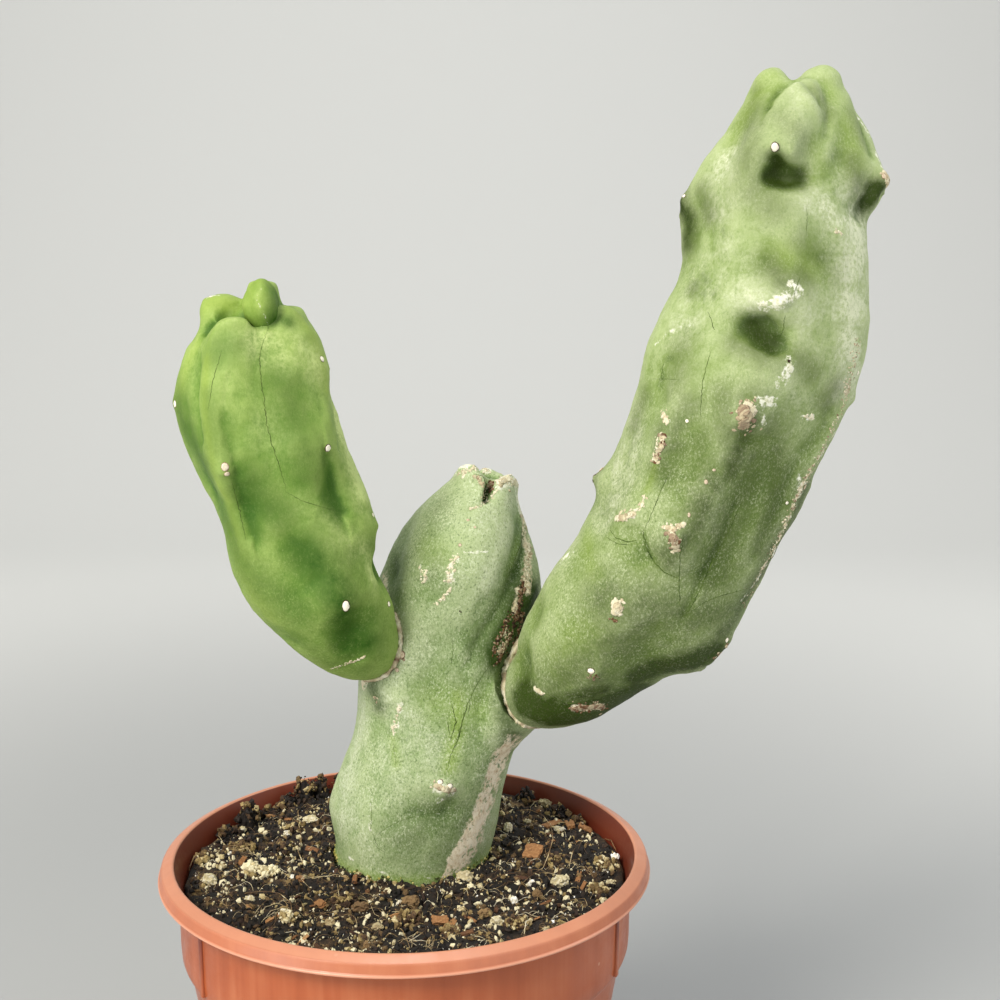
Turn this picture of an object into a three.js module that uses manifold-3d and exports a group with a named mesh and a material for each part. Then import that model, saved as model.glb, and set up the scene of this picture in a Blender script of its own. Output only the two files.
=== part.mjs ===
// Senita cactus in its monstrose form, with the nursery pot and the soil that it stands in.
// Millimetres, +Z up. The origin is the centre of the pot's foot, +X is right and -Y is the front.

import * as THREE from 'three';
import { mergeVertices } from 'three/addons/utils/BufferGeometryUtils.js';
import Module from 'manifold-3d';

const wasm = await Module();
wasm.setup();

// Clearance between pieces that touch
const seatGap = 0.3;

// The pot
const potHeight = 118;
const rimRadius = 70;
const rimInnerRadius = 65.35;
const rimSlope = 1.4;
const lipDepth = 5;
const collarRadius = 64.4;
const collarFoot = 92;
const stepIn = 2.6;
const footRadius = 47;
const footRingWidth = 5;
const wall = 1.3;
const floorRaise = 2.5;
const centrePadRadius = 20;
const drainHoles = { count: 6, radius: 3.5, circle: 31, sides: 10 };
const footNotches = { count: 4, width: 9, depth: 12, height: 2, firstAngle: 45 };
const collarRibs = { angles: [-54, 66, 186], width: 1.8, stand: 0.6, sunk: 0.2 };
const potSides = 36;

// The soil
const soilLevel = 110.8;
const soilSides = 32;
const soilRings = 6;
const soilMounds = [
  { x: 0, y: 14, rise: 1.2, spread: 30 },
  { x: -28, y: 46, rise: 3.6, spread: 15 },
  { x: -56, y: 12, rise: 1.8, spread: 16 },
  { x: 30, y: 54, rise: 2.6, spread: 24 },
  { x: 58, y: 8, rise: 1.4, spread: 16 },
  { x: 38, y: -28, rise: -0.8, spread: 18 },
  { x: -34, y: -32, rise: 0.8, spread: 16 },
];
const soilRipple = { height: 0.35, alongX: 0.23, alongY: 0.19 };
const granules = { count: 30, seed: 11, smallest: 1.3, largest: 3, reach: 60 };
const granuleShape = { flat: 0.7, tilt: 0.5, sunk: 0.15 };

// The trunk: a cut stem that leans a little to the right, with its foot buried in the soil.
// wide and deep are half sizes across and along the view, at the crests of the ribs.
const trunkForm = {
  stations: [
    { at: [-1, 14, 84], wide: 21.4, deep: 21.4 },
    { at: [-0.4, 14, 98], wide: 22.4, deep: 23 },
    { at: [0.8, 14, 112], wide: 23, deep: 23.8 },
    { at: [2, 14, 122], wide: 24.3, deep: 24 },
    { at: [3.4, 14, 130], wide: 24.3, deep: 23.5 },
    { at: [6.2, 14, 141], wide: 23.4, deep: 23 },
    { at: [8.2, 14, 152], wide: 23.4, deep: 22.6 },
    { at: [9.2, 14, 163], wide: 23.6, deep: 22.4 },
    { at: [11, 14, 175], wide: 23.4, deep: 22.2 },
    { at: [14.2, 14, 187], wide: 23.6, deep: 22 },
    { at: [16.6, 14, 197], wide: 22.2, deep: 21 },
    { at: [18.8, 14, 206], wide: 18.4, deep: 19 },
    { at: [20.9, 14, 213.5], wide: 14.2, deep: 16 },
    { at: [22.4, 14, 219], wide: 10.8, deep: 12.2 },
    { at: [22.8, 14, 221.6], wide: 9.4, deep: 10.4 },
  ],
  sides: 30,
  spacing: 4.8,
  foot: { depth: 9, rings: 3 },
  crown: { rings: 6, pit: -3, low: 1, turn: 0.62, petal: 46 },
  valley: [[0, 0], [30, 0.6], [90, 1.1], [125, 1.3], [140, 1.6]],
  ribs: [
    { path: [[0, -35], [140, -40]], width: 30, lobe: 5 },
    { path: [[0, 40], [85, 30], [115, 8], [140, 0]], width: 30, lobe: 2.6 },
    { path: [[0, 100], [95, 82], [115, 88], [140, 78]], width: 26, lobe: 3.4 },
    { path: [[0, 175], [140, 165]], width: 30, lobe: 3 },
    { path: [[0, -110], [140, -108]], width: 30, lobe: 4 },
  ],
  knobs: [
    { at: [56, 14], rise: 1.5, reach: 10, width: 9, areole: 1.8 },
    { at: [38, -86], rise: 1.2, reach: 9, width: 10, areole: 0 },
    { at: [114.5, -29], rise: 0.8, reach: 9, width: 7, areole: 1.5 },
    { at: [116.5, -11], rise: 0.5, reach: 9, width: 7, areole: 1.2 },
    { at: [91, -30], rise: 0.6, reach: 7, width: 6, areole: 1 },
    { at: [79.5, -27], rise: 0.6, reach: 7, width: 6, areole: 1 },
    { at: [112, 90], rise: 1, reach: 14, width: 7, areole: 1.2 },
    { at: [86, -150], rise: 2, reach: 12, width: 9, areole: 1.5 },
    { at: [58, 150], rise: 2.2, reach: 12, width: 9, areole: 1.6 },
    { at: [104, 152], rise: 2, reach: 12, width: 9, areole: 1.5 },
    { at: [120, -118], rise: 1.6, reach: 10, width: 8, areole: 1.3 },
    { at: [46, -160], rise: 1.6, reach: 11, width: 9, areole: 1.5 },
    { at: [74, 63], rise: 2.8, reach: 12, width: 12, undercut: 0, chin: 1, areole: 0 },
    { at: [84, -54], rise: 2.4, reach: 9, width: 9, undercut: 0, chin: 1, areole: 0 },
  ],
  hollows: [
    { at: [97, 12], depth: 1, reach: 6, width: 6 },
    { at: [103, 18], depth: 1.8, reach: 6, width: 5 },
    { at: [110, 29], depth: 2.6, reach: 7, width: 4.6 },
    { at: [118, 46], depth: 3, reach: 7, width: 4.4 },
    { at: [125, 61], depth: 2.8, reach: 7, width: 4.4 },
    { at: [132, 72], depth: 1.8, reach: 6, width: 4 },
    { at: [139, 14], depth: 1.8, reach: 5, width: 2.4 },
  ],
};

// Short branch collars on the trunk, which the arms' necks sit in
const rightCollarForm = {
  stations: [
    { at: [13, 10, 150], wide: 18, deep: 14 },
    { at: [23, 6, 156.4], wide: 14.2, deep: 12.4 },
    { at: [30, 3.4, 161.2], wide: 11.4, deep: 11 },
    { at: [33.6, 1.8, 163.6], wide: 10.7, deep: 10.7 },
  ],
  sides: 20,
  spacing: 4,
  foot: { depth: 2, rings: 1 },
  crown: { rings: 2, pit: 0.4, low: 0.4, turn: 0.5, petal: 40 },
};

const leftCollarForm = {
  stations: [
    { at: [5, 10, 163], wide: 13, deep: 11 },
    { at: [-2, 6, 169.6], wide: 10.6, deep: 10 },
    { at: [-6.6, 3.8, 173.4], wide: 9.2, deep: 9.2 },
  ],
  sides: 18,
  spacing: 4,
  foot: { depth: 2, rings: 1 },
  crown: { rings: 2, pit: 0.4, low: 0.4, turn: 0.5, petal: 40 },
};

// The younger arm on the left: two strong ribs on its face and a new bud at its tip
const leftArmForm = {
  stations: [
    { at: [-7.4, 3, 174.4], wide: 7.8, deep: 7.8 },
    { at: [-12.4, -4.4, 180.8], wide: 12.6, deep: 12 },
    { at: [-20.2, -8.6, 192.4], wide: 17, deep: 15.6 },
    { at: [-26.2, -10, 205.4], wide: 19.6, deep: 17.8 },
    { at: [-28.8, -10, 217.6], wide: 19.3, deep: 19 },
    { at: [-32.4, -10, 228], wide: 19.8, deep: 19.4 },
    { at: [-36.4, -10, 237.6], wide: 20.8, deep: 19.8 },
    { at: [-38.2, -10, 247.6], wide: 20.4, deep: 19.4 },
    { at: [-38, -9.5, 257.2], wide: 18.8, deep: 18.2 },
    { at: [-37.6, -9, 264], wide: 16.6, deep: 16.2 },
    { at: [-38, -8.6, 268.4], wide: 14.4, deep: 14 },
  ],
  sides: 32,
  spacing: 3.8,
  foot: { depth: 1.4, rings: 2 },
  crown: { rings: 6, pit: 4.4, low: 0.4, turn: 0.4, petal: 42 },
  valley: [[0, 0.2], [15, 0.8], [45, 1.6], [80, 2.2], [98, 3.2], [105, 3.2]],
  ribs: [
    { path: [[0, -80], [60, -86], [105, -92]], width: 24, lobe: 8, petal: 40 },
    {
      path: [[0, -50], [50, -46], [72, -26], [86, -24], [98, -28], [105, -24]],
      width: 25,
      lobe: 1.4,
      petal: 34,
    },
    {
      path: [[0, 26], [30, 26], [48, 36], [66, 50], [80, 72], [96, 80], [105, 60]],
      width: 26,
      lobe: 3.6,
      petal: 46,
    },
    { path: [[0, 66], [17, 66], [42, 86], [64, 76], [76, 94], [105, 128]], width: 24, lobe: 4 },
    { path: [[0, 150], [60, 158], [105, 178]], width: 25, lobe: 4 },
    { path: [[0, -140], [60, -146], [105, -140]], width: 25, lobe: 7.4 },
  ],
  knobs: [
    { at: [94, 88], rise: 1.6, reach: 9, width: 8, areole: 0.9 },
    { at: [66, 50], rise: 2.4, reach: 15, width: 8, undercut: 0.7, areole: 0.9 },
    { at: [71, -25], rise: 2.4, reach: 16, width: 7, undercut: 0.5, areole: 1.1 },
    { at: [85, -82], rise: 1.4, reach: 13, width: 9, areole: 0.9 },
    { at: [45, 86], rise: 2.6, reach: 12, width: 9, areole: 0.9 },
    { at: [27, 26], rise: 2, reach: 11, width: 8, undercut: 0.8, areole: 1 },
    { at: [17, 68], rise: 1.8, reach: 10, width: 8, areole: 0.8 },
    { at: [28, 150], rise: 2, reach: 12, width: 8, areole: 1 },
    { at: [62, 158], rise: 2.6, reach: 14, width: 8, areole: 1 },
    { at: [90, 172], rise: 2.2, reach: 12, width: 7, areole: 0.9 },
    { at: [48, -146], rise: 2.4, reach: 14, width: 8, areole: 1 },
    { at: [78, -140], rise: 2.4, reach: 13, width: 8, areole: 0.9 },
    { at: [103, -82], rise: 0, reach: 5, width: 5, areole: 0.8 },
    { at: [102, 150], rise: 0, reach: 5, width: 5, areole: 0.8 },
  ],
  hollows: [
    { at: [43, 6], depth: 1.4, reach: 9, width: 8 },
    { at: [77, 17], depth: 0.7, reach: 16, width: 4 },
    { at: [102, 22], depth: 1, reach: 7, width: 6 },
  ],
};

// The new bud, a short four-sided cushion on the tip of the left arm
const budForm = {
  stations: [
    { at: [-36, -9.4, 268], wide: 4.6, deep: 4.6 },
    { at: [-35.8, -9.4, 272.5], wide: 5.3, deep: 5.3 },
    { at: [-35.6, -9.4, 276.5], wide: 4.5, deep: 4.5 },
  ],
  sides: 12,
  spacing: 2.2,
  foot: { depth: 1, rings: 1 },
  crown: { rings: 3, pit: 3, low: 2.6, turn: 0.5, petal: 45 },
  valley: [[0, 0.8], [9, 0.8]],
  ribs: [20, 110, 200, 290].map((around) => ({ path: [[0, around], [9, around]], width: 24, lobe: 3 })),
};

// The large arm on the right: irregular ribs with chin-like knobs, and lobes round its tip
const rightArmForm = {
  stations: [
    { at: [33.1, 2, 163.4], wide: 9.3, deep: 9.3 },
    { at: [38, -2.6, 167], wide: 14.2, deep: 13 },
    { at: [47.6, -7, 177], wide: 18.6, deep: 17 },
    { at: [57.6, -10, 188], wide: 21.6, deep: 20 },
    { at: [68, -11, 198], wide: 24.6, deep: 22.8 },
    { at: [77, -12, 213.4], wide: 25.2, deep: 24 },
    { at: [83.6, -12, 231.6], wide: 25.3, deep: 24.8 },
    { at: [91.2, -12, 251], wide: 27.2, deep: 25.4 },
    { at: [96.9, -12, 267], wide: 26.8, deep: 25 },
    { at: [98.9, -12, 279.4], wide: 24.6, deep: 24 },
    { at: [99.3, -12, 289.3], wide: 23.2, deep: 23 },
    { at: [100, -11.4, 300.2], wide: 22.6, deep: 22.4 },
    { at: [101.8, -11, 309.1], wide: 20.8, deep: 20.8 },
    { at: [103.2, -10.6, 318.2], wide: 17.4, deep: 18 },
    { at: [103.4, -10.2, 324.6], wide: 14.4, deep: 15 },
    { at: [103.2, -10, 329.2], wide: 10.6, deep: 11.4 },
  ],
  sides: 36,
  spacing: 4.1,
  foot: { depth: 1.4, rings: 2 },
  crown: { rings: 7, pit: -3.5, low: -2, turn: 0.7, petal: 40 },
  valley: [[0, 0.2], [20, 0.8], [50, 2], [110, 2.4], [138, 2.4], [160, 3.4], [176, 5.4], [189, 4.6]],
  ribs: [
    {
      path: [[0, 26], [29, 8], [44, -14], [104, -6], [136, -5], [170, -17], [178, -8], [189, 2]],
      width: 23,
      lobe: 0.6,
      petal: 25,
    },
    { path: [[0, 90], [50, 74], [118, 76], [138, 66], [168, 74], [189, 76]], width: 24, lobe: 5, petal: 48 },
    { path: [[0, 150], [100, 146], [189, 142]], width: 25, lobe: 4 },
    { path: [[0, -140], [100, -150], [189, -148]], width: 25, lobe: 4 },
    {
      path: [[0, -84], [72, -96], [120, -84], [160, -96], [175, -84], [189, -70]],
      width: 25,
      lobe: 4.8,
      petal: 47,
    },
    { path: [[50, -46], [90, -42], [130, -36]], width: 15, lobe: 0 },
  ],
  knobs: [
    { at: [171, -21], rise: 3, reach: 14, width: 8, undercut: 0, areole: 1.1 },
    { at: [167, 77], rise: 4.8, reach: 14, width: 10, undercut: 0.2, chin: 0.6, areole: 1.2 },
    { at: [155, -96], rise: 3, reach: 8, width: 12, undercut: 0, chin: 1.1, areole: 1 },
    { at: [151.5, 35], rise: 0.8, reach: 9, width: 7, areole: 0.9 },
    { at: [135, -5], rise: 2.2, reach: 13, width: 9, undercut: 1.2, areole: 1.5 },
    { at: [104.5, -5], rise: 2.2, reach: 17, width: 10, areole: 2.6 },
    { at: [118, 76], rise: 0.5, reach: 10, width: 8, areole: 1.6 },
    { at: [92.5, 77], rise: 0.2, reach: 12, width: 8, areole: 1.1 },
    { at: [90.5, -42], rise: 1.4, reach: 14, width: 7, areole: 2.2 },
    { at: [70, -42], rise: 1.4, reach: 11, width: 8, areole: 2 },
    { at: [70.5, -14], rise: 2, reach: 15, width: 9, areole: 2.3 },
    { at: [72.5, -98], rise: 3.2, reach: 6.5, width: 8, chin: 0.9, areole: 1.3 },
    { at: [43.5, -17], rise: 1.4, reach: 12, width: 9, areole: 1.7 },
    { at: [29, 9], rise: 1.4, reach: 9, width: 8, areole: 1.4 },
    { at: [14, -9], rise: 0.4, reach: 6, width: 6, areole: 1 },
    { at: [47, 76], rise: 2.4, reach: 10, width: 12, areole: 1.2 },
    { at: [114, -86], rise: 1.2, reach: 15, width: 9, areole: 0 },
    { at: [40, 148], rise: 1.8, reach: 13, width: 9, areole: 1.6 },
    { at: [74, 146], rise: 2.6, reach: 15, width: 9, areole: 1.7 },
    { at: [108, 146], rise: 2.6, reach: 16, width: 9, areole: 1.6 },
    { at: [140, 144], rise: 2.6, reach: 14, width: 9, areole: 1.4 },
    { at: [168, 142], rise: 3.2, reach: 12, width: 8, areole: 1.1 },
    { at: [50, -146], rise: 2.2, reach: 14, width: 9, areole: 1.6 },
    { at: [88, -150], rise: 2.8, reach: 16, width: 9, areole: 1.8 },
    { at: [124, -150], rise: 2.6, reach: 15, width: 9, areole: 1.5 },
    { at: [154, -148], rise: 3.2, reach: 12, width: 9, areole: 1.2 },
    { at: [94, -178], rise: 1.6, reach: 14, width: 8, areole: 1.6 },
  ],
  hollows: [
    { at: [163.5, -11], depth: 3.4, reach: 4, width: 6.4 },
    { at: [160, 56], depth: 2.2, reach: 5, width: 6 },
    { at: [125, -8], depth: 1.6, reach: 5, width: 6 },
    { at: [82, 28], depth: 1.8, reach: 22, width: 8 },
    { at: [82, -28], depth: 1.3, reach: 14, width: 5 },
    { at: [34, 34], depth: 1.4, reach: 11, width: 8 },
  ],
};

// How a knob overhangs: its lower side is short, and a hollow lies under it
const chinShare = 0.5;
const undercutDrop = 0.7;
const undercutReach = 0.42;
const usualUndercut = 0.3;

// The length of a stem's head, where its ribs turn into lobes, and how full its crown is
const headLength = 24;
const crownFullness = 0.8;

// An areole's shape as shares of its size, and how many sides it has round and along
const areoleShape = { wide: 1, tall: 1.35, thick: 0.8, sides: 5, bands: 3 };

// Points closer than this are one point
const weldDistance = 1e-4;

function radians(degrees) {
  return THREE.MathUtils.degToRad(degrees);
}

// The shortest turn between two angles, in degrees
function turn(degrees) {
  return THREE.MathUtils.euclideanModulo(degrees + 180, 360) - 180;
}

function bell(value, width) {
  return Math.exp(-((value / width) ** 2));
}

// The value at a distance, from pairs of distance and value, easing from each to the next
function valueAlong(pairs, distance) {
  const after = pairs.findIndex(([place]) => place > distance);
  if (after === 0) {
    return pairs[0][1];
  }
  if (after < 0) {
    return pairs[pairs.length - 1][1];
  }
  const [from, start] = pairs[after - 1];
  const [to, end] = pairs[after];
  return THREE.MathUtils.lerp(start, end, THREE.MathUtils.smoothstep(distance, from, to));
}

// A repeatable random number from 0 to 1
function randomFrom(seed) {
  let state = seed;
  return () => {
    state = (state * 1664525 + 1013904223) % 4294967296;
    return state / 4294967296;
  };
}

// A stem: rings of skin along a curve. "along" is the distance from its base in millimetres, and
// "around" the angle in degrees from its front, positive towards its right.
class Stem {
  constructor(form, grow = 0) {
    this.form = { valley: [[0, 0]], ribs: [], knobs: [], hollows: [], ...form };
    this.grow = grow;
    this.path = new THREE.CatmullRomCurve3(form.stations.map(({ at }) => new THREE.Vector3(...at)));
    this.sizes = new THREE.CatmullRomCurve3(
      form.stations.map(({ wide, deep }) => new THREE.Vector3(wide, deep, 0)),
    );
    this.length = this.path.getLength();
  }

  frame(along) {
    const t = this.path.getUtoTmapping(THREE.MathUtils.clamp(along / this.length, 0, 1));
    const up = this.path.getTangent(t);
    const front = new THREE.Vector3(0, -1, 0).addScaledVector(up, up.y).normalize();
    const right = up.clone().cross(front);
    return { centre: this.path.getPoint(t), size: this.sizes.getPoint(t), up, front, right };
  }

  // How much of a rib's crest passes through this place, from 0 in a valley to 1 on a crest.
  // Ribs are soft waves along the stem, and full lobes with sharp creases between them near its tip.
  crest(along, around) {
    let wave = 0;
    let petal = 0;
    for (const rib of this.form.ribs) {
      const offset = turn(around - valueAlong(rib.path, along));
      wave += bell(offset, rib.width);
      petal = Math.max(petal, this.petal(rib, offset));
    }
    const towardsTip = THREE.MathUtils.smoothstep(along, this.length - headLength, this.length);
    return THREE.MathUtils.lerp(Math.min(1, wave), petal, towardsTip);
  }

  // The rounded outline of one lobe, from 1 at its middle to 0 at its edge
  petal({ petal = this.form.crown.petal }, offset) {
    return Math.sqrt(Math.max(0, 1 - (offset / petal) ** 2));
  }

  radius(along, around, size) {
    const angle = radians(around);
    const round = 1 / Math.hypot(Math.cos(angle) / size.y, Math.sin(angle) / size.x);
    const { valley, knobs, hollows } = this.form;
    let relief = -valueAlong(valley, along) * (1 - this.crest(along, around));
    for (const { at, rise, reach, width, undercut = usualUndercut, chin = chinShare } of knobs) {
      const climb = along - at[0];
      const across = bell(round * radians(turn(around - at[1])), width);
      const bulge = bell(climb, climb > 0 ? reach : reach * chin);
      const under = undercut * bell(climb + reach * undercutDrop, reach * undercutReach);
      relief += rise * across * (bulge - under);
    }
    for (const { at, depth, reach, width } of hollows) {
      relief -= depth * bell(along - at[0], reach) * bell(round * radians(turn(around - at[1])), width);
    }
    return round + relief + this.grow;
  }

  // A point of the skin, with its ring drawn in to a share of the radius and lifted along the stem
  point(along, around, share = 1, lift = 0) {
    const { centre, size, up, front, right } = this.frame(along);
    const radius = this.radius(along, around, size) * share;
    return centre
      .addScaledVector(front, radius * Math.cos(radians(around)))
      .addScaledVector(right, radius * Math.sin(radians(around)))
      .addScaledVector(up, lift);
  }

  // A point of the crown, where each rib ends in a lobe round the pit at the growing tip
  crownPoint(share, around) {
    const { crown, ribs } = this.form;
    let lobe = crown.low;
    for (const rib of ribs) {
      const offset = turn(around - valueAlong(rib.path, this.length));
      lobe = Math.max(lobe, crown.low + (rib.lobe - crown.low) * this.petal(rib, offset));
    }
    const climb = Math.sin((Math.min(1, share / crown.turn) * Math.PI) / 2);
    const fall = THREE.MathUtils.smoothstep(share, crown.turn, 1);
    const lift = THREE.MathUtils.lerp(lobe * climb, crown.pit, fall);
    const drawnIn = Math.cos((share * Math.PI) / 2) ** crownFullness;
    return this.point(this.length, around, drawnIn, lift + this.grow);
  }

  rings() {
    const { foot, crown, sides, spacing } = this.form;
    const angles = Array.from({ length: sides }, (_, side) => (side * 360) / sides);
    const rings = [];
    for (let ring = 1; ring <= foot.rings; ring += 1) {
      const share = ring / (foot.rings + 1);
      const drop = -(foot.depth + this.grow) * Math.cos((share * Math.PI) / 2);
      rings.push(angles.map((around) => this.point(0, around, Math.sin((share * Math.PI) / 2), drop)));
    }
    const steps = Math.round(this.length / spacing);
    for (let step = 0; step <= steps; step += 1) {
      rings.push(angles.map((around) => this.point((this.length * step) / steps, around)));
    }
    for (let ring = 1; ring < crown.rings; ring += 1) {
      rings.push(angles.map((around) => this.crownPoint(ring / crown.rings, around)));
    }
    const bottom = this.point(0, 0, 0, -(foot.depth + this.grow));
    const top = this.crownPoint(1, 0);
    return { rings, bottom, top };
  }

  geometry() {
    const { rings, bottom, top } = this.rings();
    const { sides } = this.form;
    const points = [bottom, ...rings.flat(), top];
    const last = points.length - 1;
    const place = (ring, side) => 1 + ring * sides + (side % sides);
    const faces = [];
    for (let side = 0; side < sides; side += 1) {
      faces.push(0, place(0, side + 1), place(0, side));
      faces.push(last, place(rings.length - 1, side), place(rings.length - 1, side + 1));
      for (let ring = 0; ring < rings.length - 1; ring += 1) {
        const [low, lowNext] = [place(ring, side), place(ring, side + 1)];
        const [high, highNext] = [place(ring + 1, side), place(ring + 1, side + 1)];
        faces.push(low, lowNext, highNext, low, highNext, high);
      }
    }
    const geometry = new THREE.BufferGeometry().setFromPoints(points);
    geometry.setIndex(faces);
    return geometry;
  }

  // An areole: a small woolly or corky lump with its root sunk in the skin
  areole({ at: [along, around], areole: size }) {
    const nearby = 0.5;
    const { wide, tall, thick, sides, bands } = areoleShape;
    const here = this.point(along, around);
    const upwards = this.point(along + nearby, around).sub(here).normalize();
    const sideways = this.point(along, around + nearby).sub(here).normalize();
    const outwards = sideways.clone().cross(upwards).normalize();
    const across = upwards.clone().cross(outwards);
    const lump = new THREE.SphereGeometry(size, sides, bands);
    lump.scale(wide, tall, thick);
    lump.applyMatrix4(new THREE.Matrix4().makeBasis(across, upwards, outwards).setPosition(here));
    return solidOf(lump);
  }
}

// A closed geometry as a solid that can be joined and cut, without faces that have no area
function solidOf(geometry) {
  const bare = geometry.clone();
  bare.deleteAttribute('normal');
  bare.deleteAttribute('uv');
  const merged = mergeVertices(bare, weldDistance);
  const index = merged.getIndex().array;
  const whole = [];
  for (let face = 0; face < index.length; face += 3) {
    const [a, b, c] = [index[face], index[face + 1], index[face + 2]];
    if (a !== b && b !== c && a !== c) {
      whole.push(a, b, c);
    }
  }
  return new wasm.Manifold(
    new wasm.Mesh({
      numProp: 3,
      vertProperties: new Float32Array(merged.getAttribute('position').array),
      triVerts: new Uint32Array(whole),
    }),
  );
}

function geometryOf(solid) {
  const mesh = solid.getMesh();
  const geometry = new THREE.BufferGeometry();
  geometry.setAttribute('position', new THREE.BufferAttribute(new Float32Array(mesh.vertProperties), 3));
  geometry.setIndex(new THREE.BufferAttribute(new Uint32Array(mesh.triVerts), 1));
  return geometry;
}

// The largest body of a solid, without the loose scraps that a cut can leave
function largestBody(solid) {
  const bodies = solid.decompose();
  bodies.sort((one, other) => other.volume() - one.volume());
  return bodies[0];
}

// A stem's form as one solid, with the areoles of its knobs joined to it
function grownStem(form) {
  const stem = new Stem(form);
  let solid = solidOf(stem.geometry());
  for (const knob of form.knobs.filter(({ areole }) => areole > 0)) {
    solid = solid.add(stem.areole(knob));
  }
  return solid;
}

// The room that a stem takes in the piece that holds it
function roomFor(form) {
  return solidOf(new Stem(form, seatGap).geometry());
}

// A profile of [radius, height] points turned round the upright axis
function turned(profile, sides) {
  const points = profile.map(([radius, height]) => new THREE.Vector2(radius, height));
  const geometry = new THREE.LatheGeometry(points, sides);
  geometry.rotateX(Math.PI / 2);
  return geometry;
}

// A piece at an angle round the pot, in degrees from the front towards the right
function aroundPot(geometry, radius, angle, height) {
  const turnAngle = radians(angle);
  geometry.rotateZ(turnAngle);
  geometry.translate(radius * Math.sin(turnAngle), -radius * Math.cos(turnAngle), height);
  return solidOf(geometry);
}

// The inner wall of the pot, from its floor to the collar, drawn in by a clearance
function innerProfile(clearance) {
  const room = wall + clearance;
  return [
    [footRadius - room, floorRaise + room],
    [collarRadius - stepIn - room, collarFoot - 4],
    [collarRadius - 0.4 - room, collarFoot],
    [collarRadius - room, collarFoot + 4],
  ];
}

// Half of the pot's section, from the middle of its underside round to the middle of its floor
function potProfile() {
  const lipTop = potHeight - rimSlope;
  const lipBottom = potHeight - lipDepth;
  return [
    [0, 0],
    [centrePadRadius, 0],
    [centrePadRadius + 1.5, floorRaise],
    [footRadius - footRingWidth - 1, floorRaise],
    [footRadius - footRingWidth, 0],
    [footRadius - 0.8, 0],
    [footRadius, 1],
    [collarRadius - stepIn, collarFoot - 4],
    [collarRadius - stepIn * 0.55, collarFoot - 2.6],
    [collarRadius - 0.4, collarFoot],
    [collarRadius - 0.2, collarFoot + 3],
    [collarRadius, lipBottom],
    [rimRadius - 0.9, lipBottom],
    [rimRadius - 0.3, lipBottom + 0.5],
    [rimRadius, lipTop - 0.6],
    [rimRadius - 0.7, lipTop + 0.2],
    [rimInnerRadius + 0.7, potHeight],
    [rimInnerRadius, potHeight - 0.2],
    [collarRadius - wall, lipBottom - 2],
    ...innerProfile(0).reverse(),
    [centrePadRadius + 0.6, floorRaise + wall],
    [centrePadRadius - 0.8, wall],
    [0, wall],
  ];
}

function makeCollarRib(angle) {
  const { width, stand, sunk } = collarRibs;
  const height = potHeight - lipDepth - collarFoot;
  const shape = new THREE.BoxGeometry(width, 2 * stand, height);
  return aroundPot(shape, collarRadius - sunk, angle, collarFoot + height / 2);
}

function makeDrainHole(angle) {
  const { radius, circle, sides } = drainHoles;
  const shape = new THREE.CylinderGeometry(radius, radius, 4 * (floorRaise + wall), sides);
  shape.rotateX(Math.PI / 2);
  return aroundPot(shape, circle, angle, 0);
}

function makeFootNotch(angle) {
  const { width, depth, height } = footNotches;
  return aroundPot(new THREE.BoxGeometry(width, depth, 2 * height), footRadius - 1, angle, 0);
}

function makePot() {
  let pot = solidOf(turned(potProfile(), potSides));
  for (const angle of collarRibs.angles) {
    pot = pot.add(makeCollarRib(angle));
  }
  for (let hole = 0; hole < drainHoles.count; hole += 1) {
    pot = pot.subtract(makeDrainHole((hole * 360) / drainHoles.count));
  }
  for (let notch = 0; notch < footNotches.count; notch += 1) {
    pot = pot.subtract(makeFootNotch(footNotches.firstAngle + (notch * 360) / footNotches.count));
  }
  return pot;
}

// The height of the soil's surface, with its mounds and a slight ripple
function soilHeight(x, y) {
  let height = soilLevel;
  height += soilRipple.height * Math.sin(x * soilRipple.alongX + 1) * Math.cos(y * soilRipple.alongY);
  for (const mound of soilMounds) {
    height += mound.rise * bell(Math.hypot(x - mound.x, y - mound.y), mound.spread);
  }
  return height;
}

// One stone or chip of the mix, an uneven lump half sunk in the soil
function makeGranule(random) {
  const { smallest, largest, reach } = granules;
  const { flat, tilt, sunk } = granuleShape;
  const size = THREE.MathUtils.lerp(smallest, largest, random() ** 2);
  const distance = reach * Math.sqrt(random());
  const angle = random() * 2 * Math.PI;
  const chip = new THREE.IcosahedronGeometry(size, 0);
  chip.scale(0.8 + 0.5 * random(), 0.8 + 0.4 * random(), flat);
  chip.rotateX((2 * random() - 1) * tilt);
  chip.rotateZ(random() * Math.PI);
  const [x, y] = [distance * Math.cos(angle), distance * Math.sin(angle)];
  chip.translate(x, y, soilHeight(x, y) - size * sunk);
  return solidOf(chip);
}

// The mix: a turned plug whose flat top is lifted into mounds, with the hole that the trunk stands in
function makeSoil() {
  const innerWall = innerProfile(seatGap);
  const edge = collarRadius - wall - seatGap;
  const surface = Array.from({ length: soilRings }, (_, ring) => [edge * (1 - ring / soilRings), soilLevel]);
  const geometry = turned([[0, innerWall[0][1]], ...innerWall, ...surface, [0, soilLevel]], soilSides);
  const position = geometry.getAttribute('position');
  for (let point = 0; point < position.count; point += 1) {
    if (position.getZ(point) > soilLevel - 0.1) {
      position.setZ(point, soilHeight(position.getX(point), position.getY(point)));
    }
  }
  let soil = solidOf(geometry);
  const random = randomFrom(granules.seed);
  for (let chip = 0; chip < granules.count; chip += 1) {
    soil = soil.add(makeGranule(random));
  }
  return largestBody(soil.subtract(roomFor(trunkForm)));
}

function makeTrunk() {
  const joined = grownStem(trunkForm)
    .add(solidOf(new Stem(rightCollarForm).geometry()))
    .add(solidOf(new Stem(leftCollarForm).geometry()));
  return largestBody(joined.subtract(roomFor(rightArmForm)).subtract(roomFor(leftArmForm)));
}

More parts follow.
